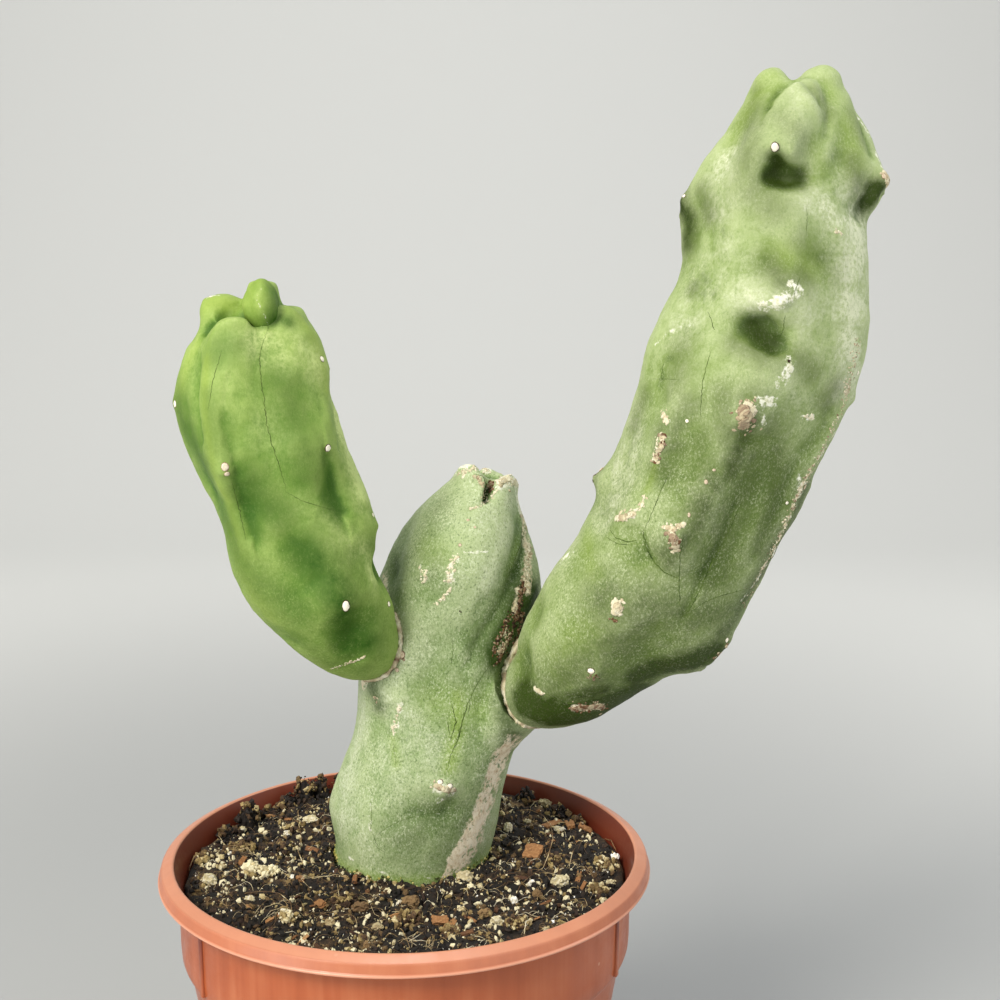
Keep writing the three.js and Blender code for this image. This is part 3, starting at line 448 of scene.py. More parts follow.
rightArmLook = {
    "voxel": 0.7,
    "grain": (285, 225, 0.4),
    "aged": (265, 225, 0.22),  # the heights in mm between which the skin darkens, and by how much
    "joined": {
        "rightLobe": ((820, 84), (6.0, 5.5, 4.7), 5.2),
        "leftLobe": ((771, 86), (4.8, 5.0, 4.5), 5.0),
    },
    "slide": {
        "footEnd": ((504, 668), 10, (6.2, 0, 0)),
        "footTop": ((528, 612), 7, (2.4, 0, -0.6)),
        "footUnder": ((585, 712), 8, (0, 0, -1.9)),
        "cornerEdge": ((750, 600), 6, (-1.7, 0, 0.3)),
        "rightRibEdge": ((798, 508), 7, (1.5, 0, 0)),
        "besideLobe": ((848, 98), 5, (-1.3, 0, 0)),
        "lobeLeft": ((752, 90), 3.5, (-1.2, 0, 0)),
        "headLeft": ((727, 130), 4, (1.5, 0, 0)),
        "underTip": ((870, 208), 3.4, (1.1, 0, 0)),
        "rimBump": ((866, 318), 2.6, (0.9, 0, 0)),
        "rightEdge": ((780, 562), 7, (-1.0, 0, 0.3)),
    },
    "push": {
        "leftOfFrontLobe": ([(795, 80), (785, 85), (776, 92), (768, 104)], 1.5, -1.0),
        "leftOfLobeFades": ([(766, 108), (760, 122)], 1.6, -0.7),
        "rightOfFrontLobe": ([(806, 82), (813, 92), (820, 104)], 1.3, -0.8),
        "valleyFill": ([(829, 114), (829, 138), (822, 156)], 3.2, 1.5),
        "frontLobeEdgeLeft": ([(795, 85), (786, 91), (777, 101), (771, 112)], 1.8, 0.6),
        "frontLobeEdgeRight": ([(799, 85), (806, 93), (811, 103), (818, 115)], 1.8, 0.4),
        "rightSilhouette": ([(860, 108), (869, 130), (876, 150)], 3.4, -2.0),
        "rightPoint": ([(885, 180)], 2.2, 1.6),
        "rightPointUnder": ([(886, 198)], 2.6, -1.4),
        "leftPoint": ([(682, 199)], 2.2, 1.0),
        "leftPointUnder": ([(682, 222)], 3.0, -0.7),
        "underAreoleApex": ([(775, 158), (779, 168), (785, 174)], 2.4, -2.0),
        "underAreoleBase": ([(770, 177), (785, 178), (802, 178)], 2.4, -2.2),
        "frontAreoleShelf": ([(764, 144), (776, 150), (790, 150)], 2.4, 0.8),
        "leftCheek": ([(758, 150), (756, 175)], 2.4, 0.6),
        "underRightTip": ([(872, 188), (866, 206)], 3.8, -2.6),
        "underLeftTip": ([(694, 206), (692, 232)], 4.0, -1.1),
        "rightFlankFacet": ([(812, 125), (806, 150)], 3.4, -0.4),
        "hollow": ([(750, 326), (764, 335), (774, 343)], 3.6, -2.6),
        "hollowTop": ([(768, 314), (767, 322)], 2.6, -0.7),
        "crustShelf": ([(764, 302), (782, 298)], 2.6, 0.6),
        "bankUnderHollow": ([(748, 352), (768, 362), (788, 366)], 2.4, 0.5),
        "crossFold": ([(772, 258), (795, 268), (818, 262)], 4.2, -1.0),
        "longValley": ([(756, 445), (740, 490), (722, 530), (706, 570)], 8.0, -1.1),
        "leftGroove": ([(668, 360), (660, 384), (664, 402)], 2.0, -0.5),
        "underLump": ([(742, 438), (752, 446)], 2.6, -0.9),
        "knobFold": ([(643, 534), (648, 552), (660, 570), (676, 578)], 1.0, -0.5),
        "knobCrest": ([(655, 500), (662, 530), (674, 556)], 4.5, 0.8),
        "valleyLine": ([(738, 508), (722, 545), (702, 582), (684, 616)], 1.4, -0.4),
        "lowHollow": ([(624, 652), (644, 648), (660, 640)], 6, -0.8),
        "lowRidge": ([(622, 622), (608, 640), (594, 664)], 3.2, 0.4),
        "cornerEdge": ([(710, 660), (728, 640)], 2.0, 0.9),
        "underside": ([(660, 680), (700, 668)], 3.6, 0.4),
        "rightRibEdge": ([(846, 402), (820, 450), (796, 500), (772, 555)], 1.8, 0.6),
        "rightOfRib": ([(830, 410), (800, 458), (780, 505), (758, 555)], 2.4, -0.5),
    },
    # painted shade: the skin painted darker under the areoles, lobes and scabs, in the hollow, the long
    # valley and along the underside
    "deep": {
        "apex": ([(776, 160), (780, 170)], 2.7, 1.1),
        "base": ([(772, 177), (785, 179), (800, 178)], 3.1, 1.15),
        "besideApex": ([(754, 112), (748, 150), (752, 190), (772, 206)], 6, 0.5),
        "lobeFace": ([(776, 116), (794, 130), (804, 145)], 4.5, 0.35),
        "rightRim": ([(852, 112), (864, 140)], 3, 0.4),
        "underScab": ([(752, 426), (741, 450), (733, 474)], 4.5, 0.75),
        "headRight": ([(854, 164), (860, 190)], 3.6, 0.55),
        "leftEdge": ([(644, 396), (634, 424)], 3.6, 0.45),
        "bumpShade": ([(594, 466), (588, 490)], 3.2, 0.35),
        "besideScab": ([(724, 396), (726, 430), (738, 462)], 4.6, 0.45),
        "lowSweep": ([(566, 684), (610, 672), (650, 650), (690, 640)], 5, 0.35),
        "lowRight": ([(786, 520), (770, 556)], 3.6, 0.4),
        "besideSmile": ([(672, 566), (684, 584)], 5, 0.3),
        "rightTipHollow": ([(880, 190), (872, 204)], 3.4, 1.3),
        "leftTipShade": ([(682, 204), (686, 222), (686, 242)], 4.6, 1.0),
        "hollow": ([(752, 328), (764, 336), (774, 343)], 2.8, 1.1),
        "hollowSoft": ([(744, 320), (764, 318), (774, 328)], 3.4, 0.4),
        "underHollow": ([(736, 344), (762, 358), (795, 356), (812, 372)], 4, 0.5),
        "crossShade": ([(768, 264), (786, 282), (806, 278)], 4.6, 0.6),
        "valley": ([(760, 445), (745, 490), (728, 530), (716, 575)], 10, 0.5),
        "valleyCore": ([(770, 430), (778, 480), (762, 550)], 6, 0.5),
        "belowHollow": ([(750, 400), (745, 440), (765, 450)], 5.5, 0.5),
        "crossArm": ([(664, 430), (676, 446)], 5, 0.5),
        "bank": ([(704, 500), (694, 535), (668, 556)], 5, 0.6),
        "leftUpper": ([(682, 350), (676, 385)], 6, 0.4),
        "lowerField": ([(604, 600), (650, 606), (690, 615), (725, 615)], 8, 0.5),
        "footField": ([(548, 690), (570, 674), (596, 656), (612, 640)], 7, 0.5),
        "underRidge": ([(644, 622), (622, 645), (602, 668), (588, 690)], 9, 0.5, "left"),
        "underside": ([(640, 676), (680, 664), (712, 652)], 6, 1.0),
        "footUnder": ([(526, 700), (556, 716), (600, 710), (632, 694)], 7, 1.3),
        "rightEdge": ([(804, 490), (792, 520), (768, 560), (742, 604), (722, 634)], 5.5, 0.6),
        "valleySpot": ([(712, 476), (716, 486)], 3.4, 0.6),
        "lowFront": ([(556, 702), (580, 696), (602, 690)], 4.5, 0.8),
        "behindLeftTip": ([(700, 192), (708, 214)], 4, 0.6),
        "chestFold": ([(800, 240), (832, 272)], 5, 0.35),
        "sideLobe": ([(815, 90), (824, 112)], 3, 0.45),
        "leftLobe": ([(758, 92), (750, 108)], 3, 0.4),
        "upperRight": ([(835, 388), (826, 400)], 4, 0.5),
        "leftRib": ([(690, 405), (672, 436), (662, 470)], 4.6, 0.5),
        "middle": ([(700, 440), (704, 500)], 6, 0.35),
        "aboveSmile": ([(650, 590), (662, 610)], 6, 0.4),
        "spotShade": ([(692, 290)], 2.6, 0.5),
    },
    # pale marks: a thicker bloom, and painted light on faces turned from the lamps
    "pale": {
        "frontLobe": ([(797, 86), (796, 100)], 3, 0.7),
        "leftBrow": ([(732, 150), (722, 176), (720, 206)], 5, 1.6),
        "chest": ([(812, 200), (830, 212), (850, 225)], 6, 1.5),
        "rightFlank": ([(854, 205), (856, 260), (852, 330), (850, 378)], 7.5, 2.2),
        "rightBelly": ([(812, 300), (818, 335)], 6, 0.9),
        "leftRibHaze": ([(632, 432), (622, 476), (606, 510)], 6, 1.8),
        "lowLeftHaze": ([(575, 530), (560, 560)], 6, 0.8),
        "headValley": ([(824, 122), (826, 150)], 3.4, 0.7),
        "leftFlank": ([(722, 262), (700, 290), (690, 318)], 7, 0.9),
        "aboveHollow": ([(742, 298), (768, 306)], 5, 1.3),
        "patches": ([(790, 380), (800, 410)], 5, 0.6),
    },
    "fresh": {
        "headRight": ([(835, 90), (848, 130), (860, 165)], 5, 0.6),
        "headLeft": ([(770, 76), (752, 104), (735, 135)], 4.6, 0.7),
        "neck": ([(560, 660), (580, 640)], 8, 0.5),
        "streak": ([(655, 466), (648, 490)], 1.3, 0.9),
        "foldGreen": ([(785, 255), (815, 270)], 4, 0.6),
        "ribGreen": ([(588, 540), (592, 572)], 3, 0.6),
        "chestGreen": ([(815, 150), (820, 180)], 4, 0.3),
    },
    "bark": {
        "rightRib": ([(832, 436), (816, 458), (804, 478), (792, 505), (776, 545), (762, 570)], 1.1, 0.52),
        "lowPatch": ([(576, 708), (600, 707)], 1.7, 0.7),
    },
    "chalk": {
        "whiteCrust": ([(766, 306), (784, 300), (798, 290)], 2.6, 0.6),
        "crustTop": ([(792, 284), (798, 292)], 1.7, 0.6),
        "patchOne": ([(790, 360), (788, 372), (780, 384)], 2.0, 0.56),
        "patchTwo": ([(760, 402), (776, 402)], 1.7, 0.66),
        "patchTwoLow": ([(762, 410), (766, 426)], 1.0, 0.56),
        "patchThree": ([(803, 416), (812, 418)], 1.2, 0.66),
        "edgeGlaze": ([(800, 475), (796, 492)], 2.0, 0.4),
        "stripe": ([(836, 430), (806, 478), (788, 520), (768, 562), (742, 600)], 1.2, 0.42),
        "lowLeftPatch": ([(562, 560), (572, 552)], 1.9, 0.55),
        "browPatch": ([(655, 345), (672, 332), (690, 326)], 2.4, 0.36),
        "edgeOfLobe": ([(846, 74), (856, 92), (864, 112), (872, 130), (880, 148), (887, 168)], 1.2, 0.45),
        "speckledShin": ([(700, 606), (735, 594), (752, 588)], 0.8, 0.3),
        "chipByScar": ([(662, 415), (667, 422)], 1.4, 0.55),
    },
}


stemLook = {  # what the three stems share
    "smoothing": 26,  # rounds that round off the solid's facets
    "areoleLift": 0.22,  # how far a small lump of the solid stands proud of its smoothed form
    "areoleSpan": 9,  # the most that such a lump measures
    "sharpness": 3.2,  # how much faster a mark fades on its sharp side
    "settling": (0.4, 2),  # factor and rounds of the smoothing after the marks
    "lumps": ((9, 0.7), (3.2, 0.2)),  # sizes and strengths of the soft unevenness
    "wideForms": (500, 0.3),  # rounds of smoothing that leave the forms out, and their weight in the crests
    "narrowForms": (60, 0.35),
    "algae": (111.5, 1.8, 0.8),  # height, reach and strength of the algae where the trunk meets damp soil
}


def joinLump(piece, surface, pixel, half, behind):  # an egg-shaped lump, run into the skin by the remesh
    place, _ = onSkin(surface, pixel)
    centre = place + rayThrough(pixel) * (behind * mm)
    lump = newShape(bpy.ops.mesh.primitive_uv_sphere_add, segments=32, ring_count=20, location=centre)
    lump.scale = [size * mm for size in half]
    bpy.ops.object.transform_apply(location=True, rotation=True, scale=True)
    piece.select_set(True)
    bpy.context.view_layer.objects.active = piece
    bpy.ops.object.join()


def smoothedPlaces(piece, times):
    twin = piece.copy()
    twin.data = piece.data.copy()
    bpy.context.scene.collection.objects.link(twin)
    applyModifier(twin, "SMOOTH", factor=0.5, iterations=times)
    places = placesOf(twin.data)
    bpy.data.objects.remove(twin)
    return places


def findAreoles(piece, lift, voxel):  # the small lumps of the solid, each as its place and size
    raised = lift > stemLook["areoleLift"] * mm
    edges = np.empty(len(piece.data.edges) * 2, int)
    piece.data.edges.foreach_get("vertices", edges)
    edges = edges.reshape(-1, 2)
    edges = edges[raised[edges].all(axis=1)]
    group = np.where(raised, np.arange(len(raised)), -1)
    while True:
        low = np.minimum(group[edges[:, 0]], group[edges[:, 1]])
        before = group.copy()
        np.minimum.at(group, edges[:, 0], low)
        np.minimum.at(group, edges[:, 1], low)
        if (group == before).all():
            break
    places = placesOf(piece.data)
    found = []
    for one in np.unique(group[group >= 0]):
        members = places[group == one]
        span = members.max(axis=0) - members.min(axis=0)
        size = math.sqrt(len(members) * (voxel * mm) ** 2 / math.pi)
        if len(members) > 3 and np.linalg.norm(span) < stemLook["areoleSpan"] * mm:
            found.append((members.mean(axis=0), size))
    return found


def marked(places, pixels, skin, mark):  # how strongly a mark is felt at every place
    path, wide, by, *sharp = mark
    away = distanceTo(places, [onSkin(skin, pixel)[0] for pixel in path]) / (wide * mm)
    if sharp:
        sharpSide = onTheLeft(pixels, path) == (sharp[0] == "left")
        away = np.where(sharpSide, away * stemLook["sharpness"], away)
    return by * bell(away)


def slidePoints(places, skin, slides):  # moves a part of the skin bodily, fading out over its reach
    moved = np.zeros_like(places)
    for pixel, reach, by in slides.values():
        spot = np.array(onSkin(skin, pixel)[0])
        felt = bell(np.linalg.norm(places - spot, axis=1) / (reach * mm))
        moved += felt[:, None] * np.array(by) * mm
    return places + moved


def makeStem(node, look):
    piece = copyNode(node, node + "_skin")
    solid = surfaceOf(piece)
    for lump in look["joined"].values():
        joinLump(piece, solid, *lump)
    applyModifier(piece, "REMESH", mode="VOXEL", voxel_size=look["voxel"] * mm)
    rough, outwards = placesOf(piece.data), normalsOf(piece.data)
    gentle = smoothedPlaces(piece, stemLook["smoothing"])
    lift = ((rough - gentle) * outwards).sum(axis=1)
    areoles = findAreoles(piece, lift, look["voxel"])
    gentle = slidePoints(gentle, solid, look["slide"])
    movePoints(piece, gentle)
    skin = surfaceOf(piece)
    pixels, outwards = seenAt(gentle), normalsOf(piece.data)
    moved = np.zeros(len(gentle))
    for mark in look["push"].values():
        moved += marked(gentle, pixels, skin, mark) * mm
    movePoints(piece, gentle + outwards * moved[:, None])
    factor, times = stemLook["settling"]
    applyModifier(piece, "SMOOTH", factor=factor, iterations=times)
    for size, strength in stemLook["lumps"]:
        relief(piece, size, strength)
    finished, outwards = placesOf(piece.data), normalsOf(piece.data)
    # the height of the form, which paints the hollows in shade and the crests paler
    crest = 0.5
    for times, weight in (stemLook["wideForms"], stemLook["narrowForms"]):
        crest = crest + ((finished - smoothedPlaces(piece, times)) * outwards).sum(axis=1) / mm * weight
    paint(piece, "crest", np.clip(crest, 0, 1))
    # the marks: painted shade, pale bloom that also paints light, fresh green, cork and chalk
    amounts = {}
    for kind in ("deep", "pale", "fresh", "bark", "chalk"):
        amounts[kind] = np.zeros(len(finished))
        for mark in look[kind].values():
            amounts[kind] = np.maximum(amounts[kind], marked(gentle, pixels, skin, mark))
    if "aged" in look:  # lower down, the skin turns darker
        top, foot, by = look["aged"]
        amounts["deep"] = amounts["deep"] + by * np.clip((top - finished[:, 2] / mm) / (top - foot), 0, 1)
    if node == "trunk":
        height, reach, by = stemLook["algae"]
        amounts["fresh"] = np.maximum(amounts["fresh"], by * bell((finished[:, 2] / mm - height) / reach))
    for kind, amount in amounts.items():
        paint(piece, kind, amount)
    top, foot, least = look["grain"]
    paint(piece, "grain", np.clip((top - finished[:, 2] / mm) / (top - foot), least, 1))
    smoothShade(piece)
    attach(piece, "root")
    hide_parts(node)
    return piece, areoles


stems = {}
for node, look in (("trunk", trunkLook), ("left_arm", leftArmLook), ("right_arm", rightArmLook)):
    stems[node] = makeStem(node, look)
    piece, areoles = stems[node]
    print(node, "skin done", len(piece.data.polygons), "faces,", len(areoles), "areoles found")


# Small shapes that repeat: modelled once, then copied into one mesh

def lumpShape(name, levels, squash, rough, seed):  # an uneven pebble, about one unit in radius
    shape = newShape(bpy.ops.mesh.primitive_ico_sphere_add, subdivisions=levels, radius=1)
    shape.name = name
    editAll()
    bpy.ops.transform.resize(value=squash)
    bpy.ops.transform.vertex_random(offset=rough, uniform=0.4, normal=0.6, seed=seed)
    bpy.ops.object.mode_set(mode="OBJECT")
    return takeShape(shape)


def takeShape(shape):  # its points and faces, and the object is put away
    points = placesOf(shape.data)
    faces = [tuple(p.vertices) for p in shape.data.polygons]
    bpy.data.objects.remove(shape)
    return points, faces


def joinCopies(name, copies, material, smooth=True):  # each copy: shape, matrix and shade
    points, faces, shades = [], [], []
    start = 0
    for (shapePoints, shapeFaces), matrix, shade in copies:
        turn = np.array(matrix)
        points.append(shapePoints @ turn[:3, :3].T + turn[:3, 3])
        faces += [tuple(start + i for i in face) for face in shapeFaces]
        shades.append(np.full(len(shapePoints), shade))
        start += len(shapePoints)
    mesh = bpy.data.meshes.new(name)
    mesh.from_pydata(np.concatenate(points).tolist(), [], faces)
    piece = bpy.data.objects.new(name, mesh)
    bpy.context.scene.collection.objects.link(piece)
    mesh.materials.append(material)
    paint(piece, "shade", np.concatenate(shades))
    if smooth:
        smoothShade(piece)
    return piece


def anyTurn():
    return random.uniform(0, math.tau)


def laidOn(place, normal, size, turn=0.0, sunk=0.0):  # a matrix that lays a shape on a surface
    upright = Vector(normal).to_track_quat("Z", "Y").to_matrix().to_4x4()
    spot = Vector(place) - Vector(normal) * sunk
    return Matrix.Translation(spot) @ upright @ Matrix.Rotation(turn, 4, "Z") @ Matrix.Diagonal((*size, 1))


def strands(name, lines, material):  # round threads, each a list of places with their radius
    curve = bpy.data.curves.new(name, "CURVE")
    curve.dimensions = "3D"
    curve.bevel_depth = 1
    curve.bevel_resolution = 1
    curve.use_fill_caps = True
    for line in lines:
        spline = curve.splines.new("POLY")
        spline.points.add(len(line) - 1)
        for point, (place, radius) in zip(spline.points, line):
            point.co = (*place, 1)
            point.radius = radius
    piece = bpy.data.objects.new(name, curve)
    bpy.context.scene.collection.objects.link(piece)
    pickOnly(piece)
    bpy.ops.object.convert(target="MESH")
    piece = bpy.context.object
    dress(piece, material)
    smoothShade(piece)
    return piece


# Cork, wool and the parts of the potting mix: rough and matt, mottled at the size of their grain

def makeSpotted(name, stops, roughness, grain, bumps, detail=5, unrest=0.7, specular=0.5):
    material, add = newMaterial(name)
    coords = add("TexCoord").outputs["Object"]
    shade = add("Attribute", attribute_name="shade").outputs["Fac"]
    spots = add("TexNoise", {"Vector": coords, "Scale": perMm(grain), "Detail": detail, "Roughness": 0.7})
    mixed = add("Math", {0: spots, 1: unrest, 2: -unrest / 2}, operation="MULTIPLY_ADD")
    mixed = add("Math", {0: mixed, 1: shade}, operation="ADD")
    colour = add("ValToRGB", {"Fac": mixed}, stops=stops)
    bump = add("Bump", {"Strength": bumps, "Distance": 0.0003, "Height": spots})
    shader = add("BsdfPrincipled", {"Base Color": colour, "Roughness": roughness, "Normal": bump,
                                    "Specular IOR Level": specular})
    add("OutputMaterial", {"Surface": shader})
    return material


# Skin: waxy epidermis, matt with a soft sheen, under a pale bloom that wears off in the folds, where shade
# is also painted

# each stem's greens; foldShade and deep are the colours of its painted shade
skinColours = {
    "trunk": {
        "foldShade": "#4d6633", "flat": "#7d955a", "crest": "#a0b080", "bloom": "#c9d0b4",
        "fresh": "#86a043", "deep": "#2b4009", "light": "#d3dabd", "dark": "#3c5228",
        "bloomShare": 0.53, "fleckShare": 0.75,
    },
    "left_arm": {
        "foldShade": "#3f661c", "flat": "#668834", "crest": "#88a250", "bloom": "#bbcb83",
        "fresh": "#96ab46", "deep": "#2d5209", "light": "#b3c47c", "dark": "#3f651c",
        "bloomShare": 0.46, "fleckShare": 0.6,
    },
    "right_arm": {
        "foldShade": "#496221", "flat": "#7b924b", "crest": "#9fb077", "bloom": "#ccd2b2",
        "fresh": "#8ca44a", "deep": "#2b3b05", "light": "#d2d9b6", "dark": "#405a1e",
        "bloomShare": 0.62, "fleckShare": 0.66,
    },
}
corkColours = {"pale": "#e8dfc6", "tan": "#d4c4a3", "pink": "#b29b7f", "brown": "#6f5538"}
chalkColours = {"white": "#e6e8d8", "cream": "#cdcdab"}


def makeSkin(name, colours):
    material, add = newMaterial(name)
    coords = add("TexCoord").outputs["Object"]
    amounts = {}
    for kind in ("crest", "deep", "pale", "fresh", "bark", "chalk", "grain"):
        amounts[kind] = add("Attribute", attribute_name=kind).outputs["Fac"]
    broad = add("TexNoise", {"Vector": coords, "Scale": perMm(15), "Detail": 3})
    mottle = add("TexNoise", {"Vector": coords, "Scale": perMm(3.2), "Detail": 5, "Roughness": 0.65})
    upright = add("Mapping", {"Vector": coords, "Scale": (1, 1, 0.7)})
    # the cells are a tenth of a millimetre wide, drawn about five times coarser so that they show
    fleck = add("TexNoise", {"Vector": upright, "Scale": perMm(0.55), "Detail": 3, "Roughness": 0.85})
    patch = add("TexNoise", {"Vector": coords, "Scale": perMm(7), "Detail": 2})
    dust = add("TexNoise", {"Vector": coords, "Scale": perMm(1.1), "Detail": 4, "Roughness": 0.7})

    # green by the height of the form, painted darker in the folds and hollows as shade and paler on the
    # crests, unsettled by two sizes of mottling
    wander = add("Math", {0: broad, 1: mottle}, operation="ADD")
    wander = add("Math", {0: wander, 1: 0.7, 2: -0.7}, operation="MULTIPLY_ADD")
    height = add("Math", {0: amounts["crest"], 1: wander}, operation="ADD")
    colour = add("ValToRGB", {"Fac": height}, stops=(
        (0.18, colours["foldShade"]), (0.48, colours["flat"]), (0.8, colours["crest"])))

    # bloom: thickest on crests and under the pale marks, which also paint light on faces turned from the
    # lamps
    haze = add("Math", {0: height, 1: 0.4, 2: amounts["pale"]}, operation="MULTIPLY_ADD")
    worn = add("MapRange", {"Value": dust, "From Min": 0.36, "From Max": 0.64, "To Min": 0.3})
    haze = add("Math", {0: haze, 1: worn}, operation="MULTIPLY")
    patchy = add("MapRange", {"Value": patch, "From Min": 0.38, "From Max": 0.58, "To Min": 0.45})
    haze = add("Math", {0: haze, 1: patchy}, operation="MULTIPLY")
    haze = add("Math", {0: haze, 1: colours["bloomShare"]}, operation="MULTIPLY", use_clamp=True)
    fresh = add("Math", {0: amounts["fresh"], 1: 0.75}, operation="MULTIPLY", use_clamp=True)

    # painted shade: folds and hollows painted darker, in mottled patches, and the light and dark cells lie
    # over them, the light ones fewer in the painted shade
    shade = add("Math", {0: mottle, 1: 0.9, 2: 0.5}, operation="MULTIPLY_ADD")
    shade = add("Math", {0: shade, 1: amounts["deep"]}, operation="MULTIPLY", use_clamp=True)
    light = add("MapRange", {"Value": fleck, "From Min": 0.52, "From Max": 0.66,
                             "To Max": colours["fleckShare"]})
    light = add("Math", {0: light, 1: patchy}, operation="MULTIPLY")
    lit = add("MapRange", {"Value": shade, "To Min": 1, "To Max": 0.25})
    light = add("Math", {0: light, 1: lit}, operation="MULTIPLY")
    light = add("Math", {0: light, 1: amounts["grain"]}, operation="MULTIPLY")
    dark = add("MapRange", {"Value": fleck, "From Min": 0.46, "From Max": 0.32,
                            "To Max": colours["fleckShare"]})
    dark = add("Math", {0: dark, 1: amounts["grain"]}, operation="MULTIPLY")

    # cork and chalky scars, with edges broken by the same noises
    broken = add("Math", {0: mottle, 1: dust}, operation="ADD")
    broken = add("Math", {0: broken, 1: 3, 2: -2}, operation="MULTIPLY_ADD")
    bark = add("Math", {0: amounts["bark"], 1: broken}, operation="MULTIPLY")
    bark = add("MapRange", {"Value": bark, "From Min": 0.32, "From Max": 0.62})
    corkGrain = add("TexNoise", {"Vector": upright, "Scale": perMm(1.3), "Detail": 5, "Roughness": 0.75})
    cork = add("ValToRGB", {"Fac": corkGrain}, stops=(
        (0.24, corkColours["brown"]), (0.33, corkColours["pink"]), (0.41, corkColours["tan"]),
        (0.56, corkColours["pale"])))
    chalk = add("Math", {0: amounts["chalk"], 1: broken}, operation="MULTIPLY")
    chalk = add("MapRange", {"Value": chalk, "From Min": 0.38, "From Max": 0.6})
    plaster = add("ValToRGB", {"Fac": dust}, stops=(
        (0.4, chalkColours["cream"]), (0.6, chalkColours["white"])))
    for amount, over in ((haze, colours["bloom"]), (fresh, colours["fresh"]), (shade, colours["deep"]),
                         (light, colours["light"]), (dark, colours["dark"]), (bark, cork), (chalk, plaster)):
        colour = add("MixRGB", {"Fac": amount, "Color1": colour, "Color2": over})

    dry = add("Math", {0: bark, 1: chalk}, operation="MAXIMUM")
    roughness = add("MapRange", {"Value": dry, "To Min": 0.58, "To Max": 0.88})
    relief = add("Math", {0: dry, 1: dust, 2: fleck}, operation="MULTIPLY_ADD")
    bump = add("Bump", {"Strength": 0.35, "Distance": 0.0004, "Height": relief})
    shader = add("BsdfPrincipled", {"Base Color": colour, "Roughness": roughness, "Normal": bump,
                                    "IOR": 1.45, "Specular IOR Level": 0.25})
    add("OutputMaterial", {"Surface": shader})
    return material


for node in stems:
    stems[node][0].data.materials.append(makeSkin("waxy_skin_" + node, skinColours[node]))
print("skins dressed")


# What grows on the skin: woolly areoles, corky scabs, fine cracks and the calluses round both joints

pixelSize = 0.27  # millimetres at the stems

areolesSeen = {  # pixel, width and height in pixels, kind
    "left_arm": {
        "rightShoulder": ((322, 359), (7, 7), "woolly"),
        "leftRim": ((175, 404), (5, 8), "woolly"),
        "byRearRib": ((328, 448), (8, 8), "woolly"),
        "onYellowRib": ((225, 467), (8, 9), "pink"),
        "belowPink": ((227, 474), (6, 5), "pink"),
        "beak": ((346, 606), (8, 13), "woolly"),
        "rearRim": ((373, 515), (4, 5), "woolly"),
        "lowRim": ((389, 604), (4, 6), "woolly"),
        "lobeCorner": ((210, 295), (4, 3), "woolly"),
    },
    "right_arm": {
        "frontLobe": ((775, 147), (8, 10), "woolly"),
        "rightTip": ((884, 176), (5, 6), "dry"),
        "leftTip": ((684, 196), (6, 4), "woolly"),
        "rimChip": ((858, 373), (3, 5), "woolly"),
        "rimOrange": ((805, 487), (5, 7), "dry"),
        "rimDot": ((787, 503), (4, 4), "woolly"),
        "leftCorner": ((598, 465), (8, 7), "pink"),
        "lowRinged": ((591, 671), (8, 7), "woolly"),
        "corner": ((727, 640), (4, 6), "woolly"),
        "chip": ((687, 421), (4, 4), "woolly"),
        "loopOne": ((714, 470), (4, 3), "dry"),
        "loopTwo": ((706, 482), (4, 5), "dry"),
        "loopThree": ((689, 515), (3, 5), "dry"),
    },
    "trunk": {
        "pairLeft": ((440, 782), (7, 6), "woolly"),
        "pairRight": ((450, 786), (7, 6), "woolly"),
        "shoulderScab": ((402, 655), (7, 9), "dry"),
        "smallScab": ((397, 670), (5, 5), "dry"),
        "dotOne": ((468, 520), (4, 3), "dry"),
        "dotTwo": ((475, 527), (3, 3), "dry"),
        "dotThree": ((460, 545), (4, 4), "dry"),
        "rimDot": ((521, 516), (4, 5), "dry"),
    },
}
